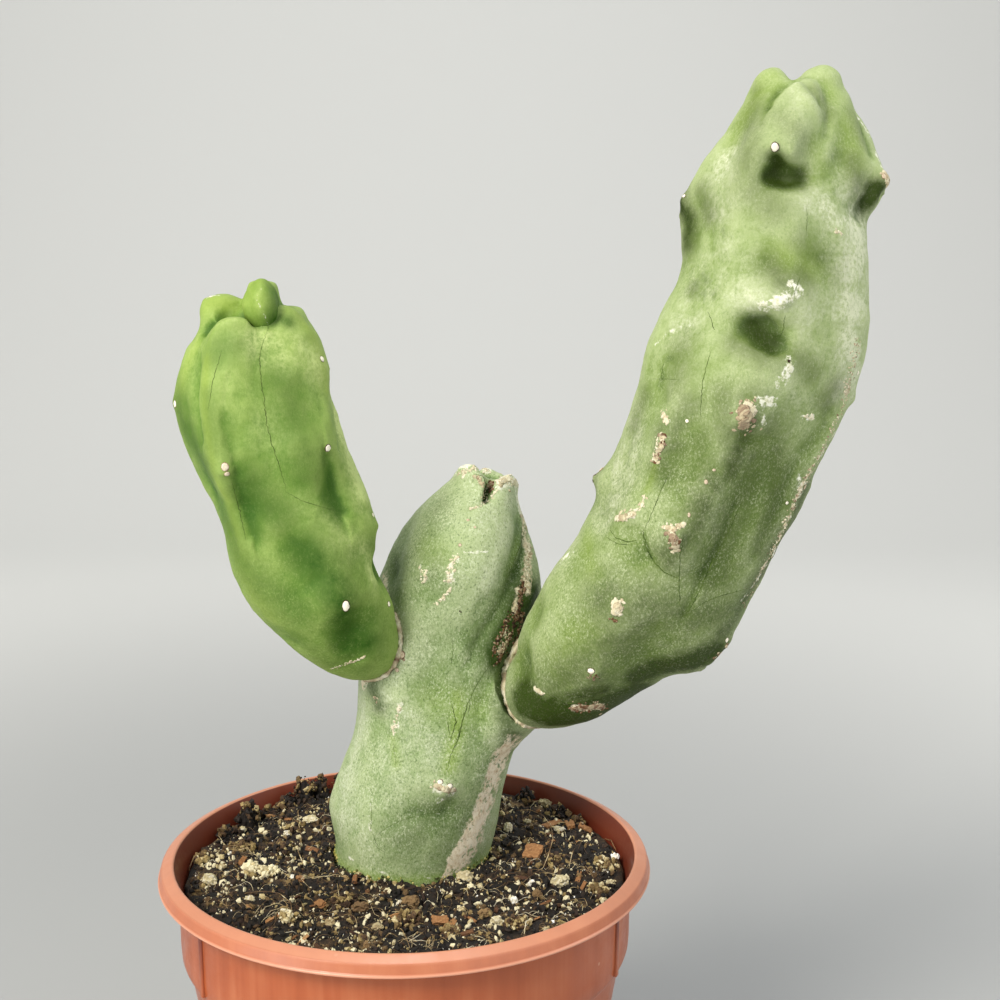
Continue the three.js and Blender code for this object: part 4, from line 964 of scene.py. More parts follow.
scabsSeen = {  # pixels along the scab, its width in millimetres, how many crumbs of cork, their shades
    "left_arm": {
        "wave": ([(331, 669), (340, 666), (350, 663), (358, 660), (365, 656)], 0.25, 46, (0.55, 0.95)),
    },
    "right_arm": {
        "chestTan": ([(835, 231), (843, 234)], 0.4, 12, (0.7, 0.95)),
        "cauliflower": ([(744, 410), (746, 416), (744, 426)], 1.7, 110, (0.3, 0.75)),
        "cauliflowerBack": ([(748, 405), (752, 412)], 1.2, 30, (0.55, 0.85)),
        "loopScarTop": ([(663, 414), (667, 422)], 0.7, 14, (0.6, 0.9)),
        "loopScar": ([(661, 434), (663, 444), (658, 452), (655, 462)], 0.7, 60, (0.15, 0.85)),
        "loopScarRim": ([(657, 436), (656, 448), (652, 460)], 0.35, 24, (0.7, 1.0)),
        "curved": ([(645, 496), (641, 506), (634, 512)], 0.5, 36, (0.65, 0.95)),
        "curvedEnd": ([(632, 514), (624, 518), (616, 518)], 0.95, 60, (0.5, 0.95)),
        "triangleTop": ([(664, 527), (674, 529), (684, 524)], 0.7, 50, (0.45, 0.9)),
        "triangle": ([(672, 534), (675, 542), (676, 550)], 1.0, 60, (0.2, 0.85)),
        "rightScab": ([(849, 380), (848, 388), (846, 397)], 0.6, 42, (0.45, 0.9)),
        "rightTip": ([(884, 172), (888, 180), (889, 186)], 0.7, 34, (0.4, 0.9)),
        "lowPatch": ([(574, 709), (588, 707), (602, 707)], 0.9, 60, (0.15, 0.6)),
        "lowPatchTwo": ([(596, 704), (606, 709)], 0.6, 20, (0.2, 0.7)),
        "lowWhite": ([(615, 603), (619, 609), (615, 612)], 1.15, 44, (0.6, 1.0)),
        "lowWhiteDots": ([(611, 618), (616, 621)], 0.4, 12, (0.05, 0.3)),
        "basePatch": ([(535, 689), (541, 693)], 0.7, 20, (0.6, 1.0)),
        "ringedBelow": ([(588, 677), (598, 677)], 0.4, 16, (0.05, 0.4)),
        "cornerCork": ([(728, 644), (722, 652), (714, 658)], 0.35, 30, (0.25, 0.7)),
        "leftCornerDark": ([(596, 470), (592, 478)], 0.4, 14, (0.1, 0.5)),
        "crumbPatch": ([(806, 415), (814, 419)], 0.5, 12, (0.7, 1.0)),
    },
    "trunk": {
        "leftLip": ([(458, 475), (468, 470), (480, 467), (488, 470)], 0.6, 70, (0.6, 1.0)),
        "curl": ([(474, 476), (482, 479), (485, 488), (484, 499)], 0.45, 60, (0.4, 0.8)),
        "rightTop": ([(499, 482), (508, 479), (517, 484)], 1.0, 80, (0.6, 1.0)),
        "ridge": ([(470, 509), (480, 506), (490, 499), (497, 490)], 0.35, 50, (0.6, 1.0)),
        "backLip": ([(526, 514), (530, 522), (532, 534)], 0.6, 50, (0.4, 0.85)),
        "holeBits": ([(490, 482), (490, 492)], 0.7, 26, (0.0, 0.35)),
        "greyScab": ([(419, 568), (426, 572), (424, 582)], 0.6, 34, (0.7, 1.0)),
        "streakScab": ([(456, 556), (449, 570), (448, 582)], 0.55, 50, (0.7, 1.0)),
        "streakTail": ([(452, 588), (444, 597), (438, 602)], 0.35, 34, (0.6, 1.0)),
        "ribNet": ([(530, 545), (528, 560), (524, 578), (528, 588)], 0.6, 110, (0.45, 1.0)),
        "ribNetDark": ([(523, 582), (520, 600), (516, 618)], 0.6, 100, (-0.1, 0.45)),
        "darkSpeckles": ([(520, 606), (512, 632), (503, 652), (497, 664)], 0.6, 130, (-0.1, 0.35)),
        "darkSpecklesLeft": ([(511, 612), (503, 632), (492, 652)], 0.6, 80, (-0.1, 0.4)),
        "darkSpecklesRight": ([(525, 612), (517, 638), (507, 660)], 0.6, 90, (-0.1, 0.35)),
        "orangeSpeckles": ([(512, 634), (500, 652)], 0.6, 50, (0.2, 0.6)),
        "pairHalo": ([(436, 786), (446, 790), (454, 790)], 0.8, 40, (0.45, 0.85)),
        "halfMoon": ([(398, 652), (404, 660)], 0.5, 20, (0.4, 0.8)),
        "oldStreak": ([(400, 706), (396, 720), (393, 732)], 0.55, 30, (0.7, 1.0)),
        "underArm": ([(372, 692), (377, 703)], 0.35, 12, (0.4, 0.7)),
        "bossCork": ([(514, 708), (524, 718)], 1.3, 60, (0.2, 0.7)),
    },
}
cracksSeen = {  # pixels along each crack, and its radius in millimetres
    "left_arm": {
        "centre": ([(268, 330), (262, 345), (259, 360), (261, 380), (264, 400), (267, 425), (272, 445),
                    (278, 462), (283, 478), (286, 492)], 0.075),
        "waist": ([(286, 492), (300, 500), (318, 506), (340, 512)], 0.05),
        "ribLine": ([(222, 350), (213, 380), (208, 410)], 0.05),
        "budLine": ([(263, 310), (267, 322), (268, 331)], 0.06),
        "ribEdge": ([(232, 482), (238, 505), (246, 540)], 0.06),
    },
    "right_arm": {
        "browLine": ([(708, 312), (712, 322), (714, 330)], 0.07),
        "longLine": ([(711, 350), (706, 368), (703, 380), (701, 400), (701, 420)], 0.075),
        "leftLine": ([(664, 362), (661, 378)], 0.06),
        "leftCross": ([(652, 379), (668, 379), (680, 380)], 0.045),
        "foldLine": ([(672, 468), (664, 484), (655, 505), (648, 522), (643, 532)], 0.07),
        "knobFold": ([(643, 532), (646, 548), (654, 562), (664, 572), (677, 578)], 0.13),
        "knobUp": ([(684, 533), (680, 556), (679, 580), (680, 604), (684, 618)], 0.08),
        "valleyLine": ([(740, 505), (728, 532), (718, 552), (706, 576), (695, 600), (684, 618)], 0.09),
        "smileTop": ([(610, 530), (616, 538), (628, 542), (638, 540)], 0.09),
        "smileLow": ([(606, 537), (618, 544), (632, 545)], 0.06),
        "cheek": ([(690, 612), (705, 602), (720, 596), (735, 592), (748, 588)], 0.06),
        "crustCrack": ([(800, 278), (796, 288), (794, 296)], 0.06),
        "chestLine": ([(806, 206), (807, 222), (806, 236)], 0.045),
        "baseLine": ([(543, 692), (556, 699), (566, 703), (576, 704)], 0.06),
        "flankLine": ([(785, 315), (783, 330), (779, 338)], 0.05),
        "edgeLine": ([(800, 500), (788, 525), (776, 548), (764, 570)], 0.06),
    },
    "trunk": {
        "diagonal": ([(496, 658), (486, 670), (478, 682), (472, 694), (467, 706), (462, 722), (456, 742),
                      (450, 758), (446, 776)], 0.07),
        "streakOne": ([(452, 704), (456, 722), (450, 742)], 0.09),
        "streakTwo": ([(464, 712), (460, 732), (455, 748)], 0.08),
        "streakThree": ([(448, 722), (450, 738)], 0.08),
        "streakFour": ([(470, 700), (468, 716)], 0.06),
        "waist": ([(374, 838), (386, 828), (400, 821), (420, 815), (440, 812), (452, 814)], 0.04),
        "foot": ([(372, 832), (378, 848), (384, 852)], 0.06),
        "lowStreak": ([(393, 742), (396, 764)], 0.05),
        "lineDown": ([(452, 640), (453, 652), (451, 664)], 0.05),
        "lipLine": ([(474, 474), (483, 476), (486, 484), (485, 500)], 0.09),
        "sideLine": ([(527, 522), (520, 546), (510, 572), (504, 590)], 0.07),
        "flank": ([(371, 800), (372, 816), (370, 832)], 0.06),
    },
}
dotsSeen = {  # single dark pits: pixel and radius in millimetres
    "left_arm": {},
    "right_arm": {
        "pitInPatch": ((789, 361), 0.5),
        "undersidePit": ((638, 692), 0.45),
        "leftCorner": ((592, 481), 0.5),
    },
    "trunk": {
        "pitInJoint": ((362, 677), 0.5),
        "pitMiddle": ((460, 611), 0.32),
        "pitLeft": ((461, 612), 0.25),
    },
}
stripes = {  # the pale corky stripe down the right rib, as rows of small chips
    "right_arm": [(858, 340), (852, 372), (842, 412), (826, 444), (808, 476), (792, 508), (778, 540),
                  (762, 572), (744, 606)],
}
areoleKinds = {  # shade of the pad, how far it stands proud, and the shade of its rim
    "woolly": (0.97, 0.5, 0.12),
    "pink": (0.72, 0.45, 0.42),
    "dry": (0.62, 0.35, 0.3),
}
areoleLook = {
    "seed": 2,
    "share": 0.42,  # half of what is seen across, without the rim
    "turnedAway": -0.65,  # found areoles are dressed where they face away from the camera by this or more
    "found": (0.6, 0.6, 1.1),  # a found one's half width, as a share of its lump, at least and at most
    "taller": 1.25,
    "rimThick": 0.8,
    "rimSunk": 0.04,
}
scabLook = {
    "crustFrom": 0.6,  # wider scabs have a solid crust under their crumbs
    "crustStep": 2.2,  # pixels between the crusts, for each mm of the scab's width
    "crustSize": (0.75, 1.1),  # as a share of the scab's width
    "crustFlat": 0.16,
    "spread": 0.9,  # how far its crumbs stray, as a share of its width
    "crumb": (0.22, 0.55),
    "crumbFlat": (0.2, 0.45),
    "flakeEvery": 7,
    "flakeSize": 1.5,  # times a crumb's size
    "dotThick": 0.12,
    "chips": 42,  # along each stretch of a stripe
    "chip": (0.12, 0.3),
    "chipSpread": 1.8,  # in pixels
    "chipShades": (0.3, 0.95),
    "lumps": (0.7, 0.2),
}
crackLook = {
    "step": 2,  # pixels between its points
    "stray": 0.35,  # pixels that a point lies beside the path
    "thick": 1.3,  # times the radius that each crack has
    "uneven": (0.6, 1.25),
    "above": 0.01,
}
callusLook = {
    "thick": {"left_arm": 0.8, "right_arm": 1.25},
    "gap": (0.9, 1.7),  # how far the arm's skin lies from the trunk where the ring runs
    "parts": 48,
    "voxel": 0.28,
    "lumps": ((1.6, 1.0), (0.6, 0.5)),
}


def makeCrackMaterial():
    material, add = newMaterial("dried_skin_crack")
    coords = add("TexCoord").outputs["Object"]
    patches = add("TexNoise", {"Vector": coords, "Scale": perMm(2.5), "Detail": 3})
    colour = add("ValToRGB", {"Fac": patches}, stops=((0.35, "#354620"), (0.65, "#5d7036")))
    shader = add("BsdfPrincipled", {"Base Color": colour, "Roughness": 0.9, "Specular IOR Level": 0.1})
    add("OutputMaterial", {"Surface": shader})
    return material


def rimShape():  # the dry ring that a tuft stands in
    ring = newShape(bpy.ops.mesh.primitive_torus_add, major_segments=28, minor_segments=8, major_radius=1.0,
                    minor_radius=0.17)
    editAll()
    bpy.ops.transform.vertex_random(offset=0.06, uniform=0.6, normal=0.3, seed=3)
    bpy.ops.object.mode_set(mode="OBJECT")
    return takeShape(ring)


def dressAreoles(node, skin, found, wool):  # tufts of felt, each in its dry rim
    pads, rim = [lumpShape("pad", 3, (1, 1, 0.8), 0.1, seed) for seed in range(3)], rimShape()
    random.seed(areoleLook["seed"])
    copies, spots = [], []
    towards = Vector(cameraLook["place"]) * mm
    for pixel, (wide, tall), kind in areolesSeen[node].values():
        place, normal = onSkin(skin, pixel)
        share = areoleLook["share"]
        size = (wide * share * pixelSize * mm, tall * share * pixelSize * mm)
        spots.append((place, normal, size, areoleKinds[kind]))
    for place, size in found:  # those that the photo doesn't show, on the far side
        place, normal, _, _ = skin.find_nearest(place)
        if normal.dot((towards - place).normalized()) < areoleLook["turnedAway"]:
            share, least, most = areoleLook["found"]
            half = min(most, max(least, size / mm * share)) * mm
            kind = random.choice(["woolly", "dry", "dry"])
            spots.append((place, normal, (half, half * areoleLook["taller"]), areoleKinds[kind]))
    for place, normal, (wide, tall), (padShade, proud, rimShade) in spots:
        pad = laidOn(place, normal, (wide, tall, min(wide, tall) * proud))
        copies.append((random.choice(pads), pad, padShade))
        thick = min(wide, tall) * areoleLook["rimThick"]
        ring = laidOn(place, normal, (wide, tall, thick), sunk=areoleLook["rimSunk"] * mm)
        copies.append((rim, ring, rimShade))
    return joinCopies(node + "_areoles", copies, wool)


def dressScabs(node, skin, cork):
    crumbs = [lumpShape("crumb", 1, (1, 0.85, 0.7), 0.22, seed) for seed in range(4)]
    flakes = [lumpShape("flake", 2, (1, 0.8, 0.6), 0.2, seed) for seed in range(4)]
    crusts = [lumpShape("crust", 3, (1, 0.85, 0.9), 0.12, seed) for seed in range(3)]
    random.seed(len(scabsSeen[node]) + 7)
    copies = []
    for path, wide, count, (darkest, palest) in scabsSeen[node].values():
        pixels = alongPixels(path, 1)
        if wide > scabLook["crustFrom"]:
            for x, y in alongPixels(path, wide * scabLook["crustStep"]):
                place, normal = onSkin(skin, (x, y))
                size = wide * random.uniform(*scabLook["crustSize"]) * mm
                matrix = laidOn(place, normal, (size, size * 1.15, size * scabLook["crustFlat"]), anyTurn())
                copies.append((random.choice(crusts), matrix, random.uniform(darkest, palest)))
        for number in range(count):
            x, y = random.choice(pixels)
            reach = abs(random.gauss(0, scabLook["spread"])) * wide / pixelSize
            turn = anyTurn()
            place, normal = onSkin(skin, (x + reach * math.cos(turn), y + reach * math.sin(turn)))
            size = random.uniform(*scabLook["crumb"]) * min(1.1, 0.5 + 0.5 * wide) * mm
            shapes = crumbs
            if number % scabLook["flakeEvery"] == 0:
                size, shapes = size * scabLook["flakeSize"], flakes
            flat = random.uniform(*scabLook["crumbFlat"])
            matrix = laidOn(place, normal, (size * 1.3, size, size * flat), turn)
            copies.append((random.choice(shapes), matrix, random.uniform(darkest, palest)))
    for pixel, radius in dotsSeen[node].values():
        place, normal = onSkin(skin, pixel)
        matrix = laidOn(place, normal, (radius * mm, radius * mm, scabLook["dotThick"] * mm))
        copies.append((flakes[0], matrix, 0.0))
    spread = scabLook["chipSpread"]
    for start, end in zip(stripes.get(node, []), stripes.get(node, [])[1:]):
        for _ in range(scabLook["chips"]):
            share = random.random()
            pixel = [a + (b - a) * share + random.gauss(0, spread) for a, b in zip(start, end)]
            place, normal = onSkin(skin, pixel)
            size = random.uniform(*scabLook["chip"]) * mm
            matrix = laidOn(place, normal, (size, size * 1.7, size * 0.35), anyTurn())
            copies.append((random.choice(crumbs), matrix, random.uniform(*scabLook["chipShades"])))
    scabs = joinCopies(node + "_scabs", copies, cork)
    relief(scabs, *scabLook["lumps"])
    return scabs


def dressCracks(node, skin, material):
    random.seed(len(cracksSeen[node]))
    lines = []
    for path, radius in cracksSeen[node].values():
        pixels = alongPixels(path, crackLook["step"])
        line = []
        for number, (x, y) in enumerate(pixels):
            place, normal = onSkin(skin, (x + random.gauss(0, crackLook["stray"]), y))
            taper = math.sin(math.pi * (number + 0.6) / (len(pixels) + 0.2)) ** 0.5
            thick = radius * crackLook["thick"] * mm * taper * random.uniform(*crackLook["uneven"])
            line.append((place + normal * (crackLook["above"] * mm), thick))
        lines.append(line)
    return strands(node + "_cracks", lines, material)


def callusRound(name, arm, trunk, thick, material):  # a corky ring where an arm meets the trunk
    closest, furthest = callusLook["gap"]
    seam = []
    for place in placesOf(arm.data):
        near, outwards, _, gap = trunk.find_nearest(Vector(place), furthest * mm)
        if near is not None and gap > closest * mm and (Vector(place) - near).dot(outwards) > 0:
            seam.append((place + np.array(near)) / 2)
    seam = np.array(seam)
    middle = seam.mean(axis=0)
    axes = np.linalg.svd(seam - middle, full_matrices=False)[2]
    flat = (seam - middle) @ axes[:2].T
    parts = callusLook["parts"]
    part = np.floor((np.arctan2(flat[:, 1], flat[:, 0]) / math.tau + 0.5) * parts).astype(int) % parts
    ring = np.array([seam[part == number].mean(axis=0) for number in range(parts) if (part == number).any()])
    for _ in range(2):
        ring = (np.roll(ring, 1, axis=0) + ring * 2 + np.roll(ring, -1, axis=0)) / 4
    random.seed(parts)
    line = [(place, thick * mm * random.uniform(0.7, 1.3)) for place in ring]
    line.append(line[0])
    callus = strands(name, [line], material)
    applyModifier(callus, "REMESH", mode="VOXEL", voxel_size=callusLook["voxel"] * mm)
    for size, strength in callusLook["lumps"]:
        relief(callus, size, strength)
    paintClouds(callus, 0.66, 0.5, 1.8)
    dress(callus, material)
    smoothShade(callus)
    return callus


budLook = {
    "pixel": (266, 322),
    "lift": (-1.0, 0, 4.4),  # mm from the skin at that pixel to the bud's middle
    "half": (5.0, 5.0, 6.8),
    "behind": 2.4,  # mm from the arm's skin to the bud's middle, away from the camera
    "folds": 3,
    "foldDepth": 0.08,
    "turn": 1.1,
    "twist": 0.5,
    "taper": 0.18,
    "lumps": (2.5, 0.25),
    "ridge": [(268, 280), (261, 289), (256, 298), (260, 306), (265, 316), (268, 325)],
    "ridgeHaze": 0.6,  # how wide the haze and the chalk lie along the ridge
    "ridgeChalk": 0.22,
}


def makeBud(arm, skin):  # the new shoot between the lobes of the left arm's tip, folded round itself
    place, _ = onSkin(skin, budLook["pixel"])
    centre = place + rayThrough(budLook["pixel"]) * (budLook["behind"] * mm) + Vector(budLook["lift"]) * mm
    bud = newShape(bpy.ops.mesh.primitive_uv_sphere_add, segments=72, ring_count=48)
    bud.name = "left_arm_bud"
    points = placesOf(bud.data)
    turns = np.arctan2(points[:, 1], points[:, 0]) + budLook["turn"] + points[:, 2] * budLook["twist"]
    folded = 1 - np.abs(np.cos(turns * budLook["folds"] / 2))
    points[:, :2] *= 1 - budLook["foldDepth"] * folded[:, None] * 2
    points[:, :2] *= (1 - budLook["taper"] * np.clip(points[:, 2], 0, 1) ** 2)[:, None]
    movePoints(bud, points * np.array(budLook["half"]) * mm + np.array(centre))
    relief(bud, *budLook["lumps"])
    bud.data.materials.append(arm.data.materials[0])
    finished = placesOf(bud.data)
    skinOfBud = surfaceOf(bud)
    ridge = distanceTo(finished, [onSkin(skinOfBud, pixel)[0] for pixel in budLook["ridge"]])
    rightSide = np.clip((finished[:, 0] - centre[0]) / (budLook["half"][0] * mm), 0, 1)
    lowSide = np.clip((centre[2] - finished[:, 2]) / (budLook["half"][2] * mm), 0, 1)
    # painted shade on the bud's right and lower sides, and fresher green to its left
    paint(bud, "crest", 0.7 - 0.3 * lowSide)
    paint(bud, "deep", 0.8 * rightSide + 0.7 * lowSide)
    paint(bud, "pale", 0.9 * bell(ridge / (budLook["ridgeHaze"] * mm)))
    paint(bud, "fresh", 0.45 * (1 - rightSide))
    paint(bud, "bark", np.zeros(len(finished)))
    paint(bud, "grain", np.full(len(finished), 0.2))
    paint(bud, "chalk", 0.6 * bell(ridge / (budLook["ridgeChalk"] * mm)))
    smoothShade(bud)
    return bud


drySkin = {
    "cork": makeSpotted("flaky_scar_cork", (
        (0.02, "#33251a"), (0.2, "#6b4c32"), (0.36, "#94806a"), (0.52, "#b1a284"), (0.74, "#cbc2a2"),
        (0.94, "#e0dac2")), 0.85, 0.8, 0.5, detail=4, unrest=0.5, specular=0.2),
    "wool": makeSpotted("areole_wool", (
        (0.05, "#2c2015"), (0.3, "#6f553f"), (0.5, "#ab9378"), (0.72, "#d9ccb4"),
        (0.92, "#f3edda")), 0.85, 0.5, 0.5, detail=4, unrest=0.5, specular=0.2),
    "crack": makeCrackMaterial(),
}
for node, (piece, found) in stems.items():
    skin = surfaceOf(piece)
    dressed = [
        dressAreoles(node, skin, found, drySkin["wool"]),
        dressScabs(node, skin, drySkin["cork"]),
        dressCracks(node, skin, drySkin["crack"]),
    ]
    if node == "left_arm":
        dressed.append(makeBud(piece, skin))
    if node != "trunk":
        trunk, thick = surfaceOf(stems["trunk"][0]), callusLook["thick"][node]
        dressed.append(callusRound(node + "_callus", piece, trunk, thick, drySkin["cork"]))
    for part in dressed:
        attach(part, "root")
    print(node, "dressed", [len(part.data.polygons) for part in dressed], "faces")


# The pot: polypropylene, injection moulded, so it is satin with faint streaks where the plastic flowed

potLook = {
    "height": 118,
    "rimOuter": 70,
    "rimInner": 65.35,
    "rimSlope": 1.4,
    "lipDepth": 5,
    "collar": 64.4,
    "collarFoot": 92,
    "stepIn": 2.6,
    "foot": 47,
    "footRing": 5,
    "wall": 1.3,
    "floorRaise": 2.5,
    "centrePad": 20,
    "steps": 144,
    "edge": 0.35,
    "ribAngles": (-54, 66, 186),  # from the front towards the right
    "ribWidth": 1.8,
    "ribStand": 0.4,
    "ribRoot": 1.2,  # how deep a rib reaches into the wall
    "ribEnds": (0.4, 0.6),  # how far it runs on into the lip and below the collar's foot
    "bead": 0.5,  # how far the lip's face lies behind the bead along its lower edge
    "drainHoles": 6,
    "holeRadius": 3.5,
    "holeCircle": 31,
    "drillLength": 20,
    "notches": 4,
    "notchWidth": 9,
    "notchHeight": 2,
    "notchDepth": 12,
    "roundOver": 35,  # degrees between faces whose edge is rounded
    "smoothUnder": 32,  # degrees between faces that are shaded as one
}


def potSection():  # half of the pot's section, from under its middle round to the middle of its floor
    p = potLook
    top, outer, inner, face = p["height"], p["rimOuter"], p["rimInner"], p["rimOuter"] - p["bead"]
    lipTop, lipBottom = top - p["rimSlope"], top - p["lipDepth"]
    collar, collarFoot, step, thin = p["collar"], p["collarFoot"], p["stepIn"], p["wall"]
    foot, pad, raised = p["foot"], p["centrePad"], p["floorRaise"]
    return [
        (0, 0), (pad, 0), (pad + 1.5, raised), (foot - p["footRing"] - 1, raised), (foot - p["footRing"], 0),
        (foot - 0.8, 0), (foot, 1), (collar - step, collarFoot - 4), (collar - step * 0.9, collarFoot - 3.4),
        (collar - step * 0.3, collarFoot - 1.2), (collar - 0.4, collarFoot), (collar - 0.2, collarFoot + 3),
        (collar, lipBottom + 0.2), (outer - 1.2, lipBottom), (outer - 0.3, lipBottom + 0.1),
        (outer, lipBottom + 0.5), (outer - 0.15, lipBottom + 0.9), (face, lipBottom + 1.1),
        (face - 0.3, lipTop - 0.5), (face - 0.6, lipTop + 0.05), (face - 1.1, lipTop + 0.3),
        (inner + 0.8, top), (inner + 0.25, top - 0.1), (inner, top - 0.6), (collar - thin, lipBottom - 2),
        (collar - thin, collarFoot + 4), (collar - 0.4 - thin, collarFoot),
        (collar - step - thin, collarFoot - 4), (foot - thin, raised + thin), (pad + 0.6, raised + thin),
        (pad - 0.8, thin), (0, thin),
    ]


def spun(name, section, steps):  # a section drawn point by point and spun round the upright axis
    piece = newShape(bpy.ops.mesh.primitive_plane_add, size=mm)
    piece.name = name
    editAll()
    bpy.ops.mesh.merge(type="CENTER")
    bpy.ops.transform.translate(value=(section[0][0] * mm, 0, section[0][1] * mm))
    for (fromX, fromZ), (toX, toZ) in zip(section, section[1:]):
        step = ((toX - fromX) * mm, 0, (toZ - fromZ) * mm)
        bpy.ops.mesh.extrude_vertices_move(TRANSFORM_OT_translate={"value": step})
    bpy.ops.mesh.select_all(action="SELECT")
    bpy.ops.mesh.spin(steps=steps, angle=math.tau, center=(0, 0, 0), axis=(0, 0, 1))
    bpy.ops.object.mode_set(mode="OBJECT")
    mergeDoubles(piece, 0.00001, outwards=True)
    return piece


def block(size, place, turn=0.0):
    tool = newShape(bpy.ops.mesh.primitive_cube_add, size=1, location=[p * mm for p in place],
                    rotation=(0, 0, turn))
    tool.scale = [s * mm for s in size]
    bpy.ops.object.transform_apply(location=True, rotation=True, scale=True)
    return tool


def potPlace(radius, angle, height):  # an angle round the pot, from the front towards the right
    turn = math.radians(angle)
    return radius * math.sin(turn), -radius * math.cos(turn), height


def combine(piece, tool, way):
    applyModifier(piece, "BOOLEAN", object=tool, operation=way, solver="EXACT")
    bpy.data.objects.remove(tool)


def makePot(material):
    p = potLook
    pot = spun("pot_moulded", potSection(), p["steps"])
    applyModifier(pot, "BEVEL", width=p["edge"] * mm, segments=2, limit_method="ANGLE",
                  angle_limit=math.radians(p["roundOver"]), use_clamp_overlap=True)
    above, below = p["ribEnds"]
    ribTop, ribFoot = p["height"] - p["lipDepth"] + above, p["collarFoot"] - below
    for angle in p["ribAngles"]:
        place = potPlace(p["collar"] + p["ribStand"] / 2 - p["ribRoot"] / 2, angle, (ribTop + ribFoot) / 2)
        size = (p["ribWidth"], p["ribStand"] + p["ribRoot"], ribTop - ribFoot)
        rib = block(size, place, math.radians(angle))
        applyModifier(rib, "BEVEL", width=p["edge"] * mm, segments=3)
        combine(pot, rib, "UNION")
    for hole in range(p["drainHoles"]):
        x, y, _ = potPlace(p["holeCircle"], hole * 360 / p["drainHoles"], 0)
        drill = newShape(bpy.ops.mesh.primitive_cylinder_add, vertices=32, radius=p["holeRadius"] * mm,
                         depth=p["drillLength"] * mm, location=(x * mm, y * mm, 0))
        combine(pot, drill, "DIFFERENCE")
    for notch in range(p["notches"]):
        angle = 45 + notch * 360 / p["notches"]
        size = (p["notchWidth"], p["notchDepth"], 2 * p["notchHeight"])
        cutter = block(size, potPlace(p["foot"] - 1, angle, 0), math.radians(angle))
        combine(pot, cutter, "DIFFERENCE")
    pickOnly(pot)
    bpy.ops.object.shade_smooth_by_angle(angle=math.radians(p["smoothUnder"]))
    places = placesOf(pot.data) / mm
    outwards, heights = np.hypot(places[:, 0], places[:, 1]), places[:, 2]
    # painted shade: the inner wall under the rim and the rim's inner edge
    underRim = (outwards < p["collar"] - p["wall"] / 2) & (heights > p["collarFoot"] + 2)
    onRim = (outwards < p["rimInner"] + 0.15) & (heights > p["height"] - p["lipDepth"])
    paint(pot, "paintedShadeInside", underRim | onRim)
    dress(pot, material)
    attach(pot, "root")
    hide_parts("pot")
    return pot


def makePotPlastic():
    material, add = newMaterial("moulded_terracotta_polypropylene")
    coords = add("TexCoord").outputs["Object"]
    parts = add("SeparateXYZ", {"Vector": coords})
    cloudy = add("TexNoise", {"Vector": coords, "Scale": perMm(24), "Detail": 3})
    upright = add("Mapping", {"Vector": coords, "Scale": (1, 1, 0.05)})
    # streaks where the molten plastic ran down the wall
    streak = add("TexNoise", {"Vector": upright, "Scale": perMm(5), "Detail": 4, "Roughness": 0.6})
    mixed = add("Math", {0: cloudy, 1: streak}, operation="ADD")
    mixed = add("Math", {0: mixed, 1: 0.5}, operation="MULTIPLY")
    colour = add("ValToRGB", {"Fac": mixed}, stops=(
        (0.3, "#964724"), (0.5, "#a85630"), (0.7, "#b76b45")))
    # painted light on the rim: its top palest, then a painted highlight on the bead below it, then the lip's
    # face
    level = add("Mapping", {"Vector": coords, "Scale": (1, 1, 0)})
    outwards = add("VectorMath", {0: level}, operation="LENGTH").outputs["Value"]
    outer, lipFoot = potLook["rimOuter"], potLook["height"] - potLook["lipDepth"]
    upwards = add("MapRange", {"Value": outwards, "From Min": (outer - 0.8) * mm,
                               "From Max": (outer - 1.5) * mm, "To Min": 0.25, "To Max": 0.6})
    paintedRimLight = add("MapRange", {"Value": parts.outputs["Z"], "From Min": (lipFoot - 0.5) * mm,
                             "From Max": (lipFoot + 0.5) * mm})
    paintedRimLight = add("Math", {0: paintedRimLight, 1: upwards}, operation="MULTIPLY")
    # the bead's pale line is a painted highlight
    bead = add("MapRange", {"Value": outwards, "From Min": (outer - potLook["bead"]) * mm,
                            "From Max": (outer - 0.1) * mm, "To Max": 0.55})
    # the inner wall stays dark where the wet mix has stained it
    # painted shade: the inner wall and the rim's inner edge are painted dark
    paintedShadeInside = add("Attribute", attribute_name="paintedShadeInside").outputs["Fac"]
    paintedShadeInside = add("MapRange", {"Value": paintedShadeInside, "From Min": 0.1, "From Max": 0.7, "To Max": 0.95})
    # pale specks of grit and lime, drawn about half a millimetre wide
    grit = add("TexVoronoi", {"Vector": coords, "Scale": perMm(7), "Randomness": 1})
    speck = add("MapRange", {"Value": grit.outputs["Distance"], "From Min": 0.085, "From Max": 0.05,
                             "To Max": 0.5})
    rare = add("MapRange", {"Value": cloudy, "From Min": 0.5, "From Max": 0.6})
    speck = add("Math", {0: speck, 1: rare}, operation="MULTIPLY")
    for amount, over in ((paintedRimLight, "#d59a7d"), (bead, "#e3ab90"), (paintedShadeInside, "#6b2c1c"), (speck, "#e8cdb4")):
        colour = add("MixRGB", {"Fac": amount, "Color1": colour, "Color2": over})
    # rubbed patches, duller than the rest
    rubbed = add("TexNoise", {"Vector": coords, "Scale": perMm(9), "Detail": 6, "Roughness": 0.7})
    roughness = add("MapRange", {"Value": rubbed, "From Min": 0.35, "From Max": 0.65, "To Min": 0.28,
                                 "To Max": 0.48})
    # the mould's spark-eroded grain, drawn coarser than its twentieth of a millimetre
    grain = add("TexNoise", {"Vector": coords, "Scale": perMm(0.35), "Detail": 2})
    bump = add("Bump", {"Strength": 0.12, "Distance": 0.0001, "Height": grain})
    shader = add("BsdfPrincipled", {"Base Color": colour, "Roughness": roughness, "Normal": bump,
                                    "IOR": 1.49})
    add("OutputMaterial", {"Surface": shader})
    return material


pot = makePot(makePotPlastic())
print("pot done", len(pot.data.polygons), "faces")


# The soil: peat with crumbs, pumice, gravel, bark and fibres on its rough top

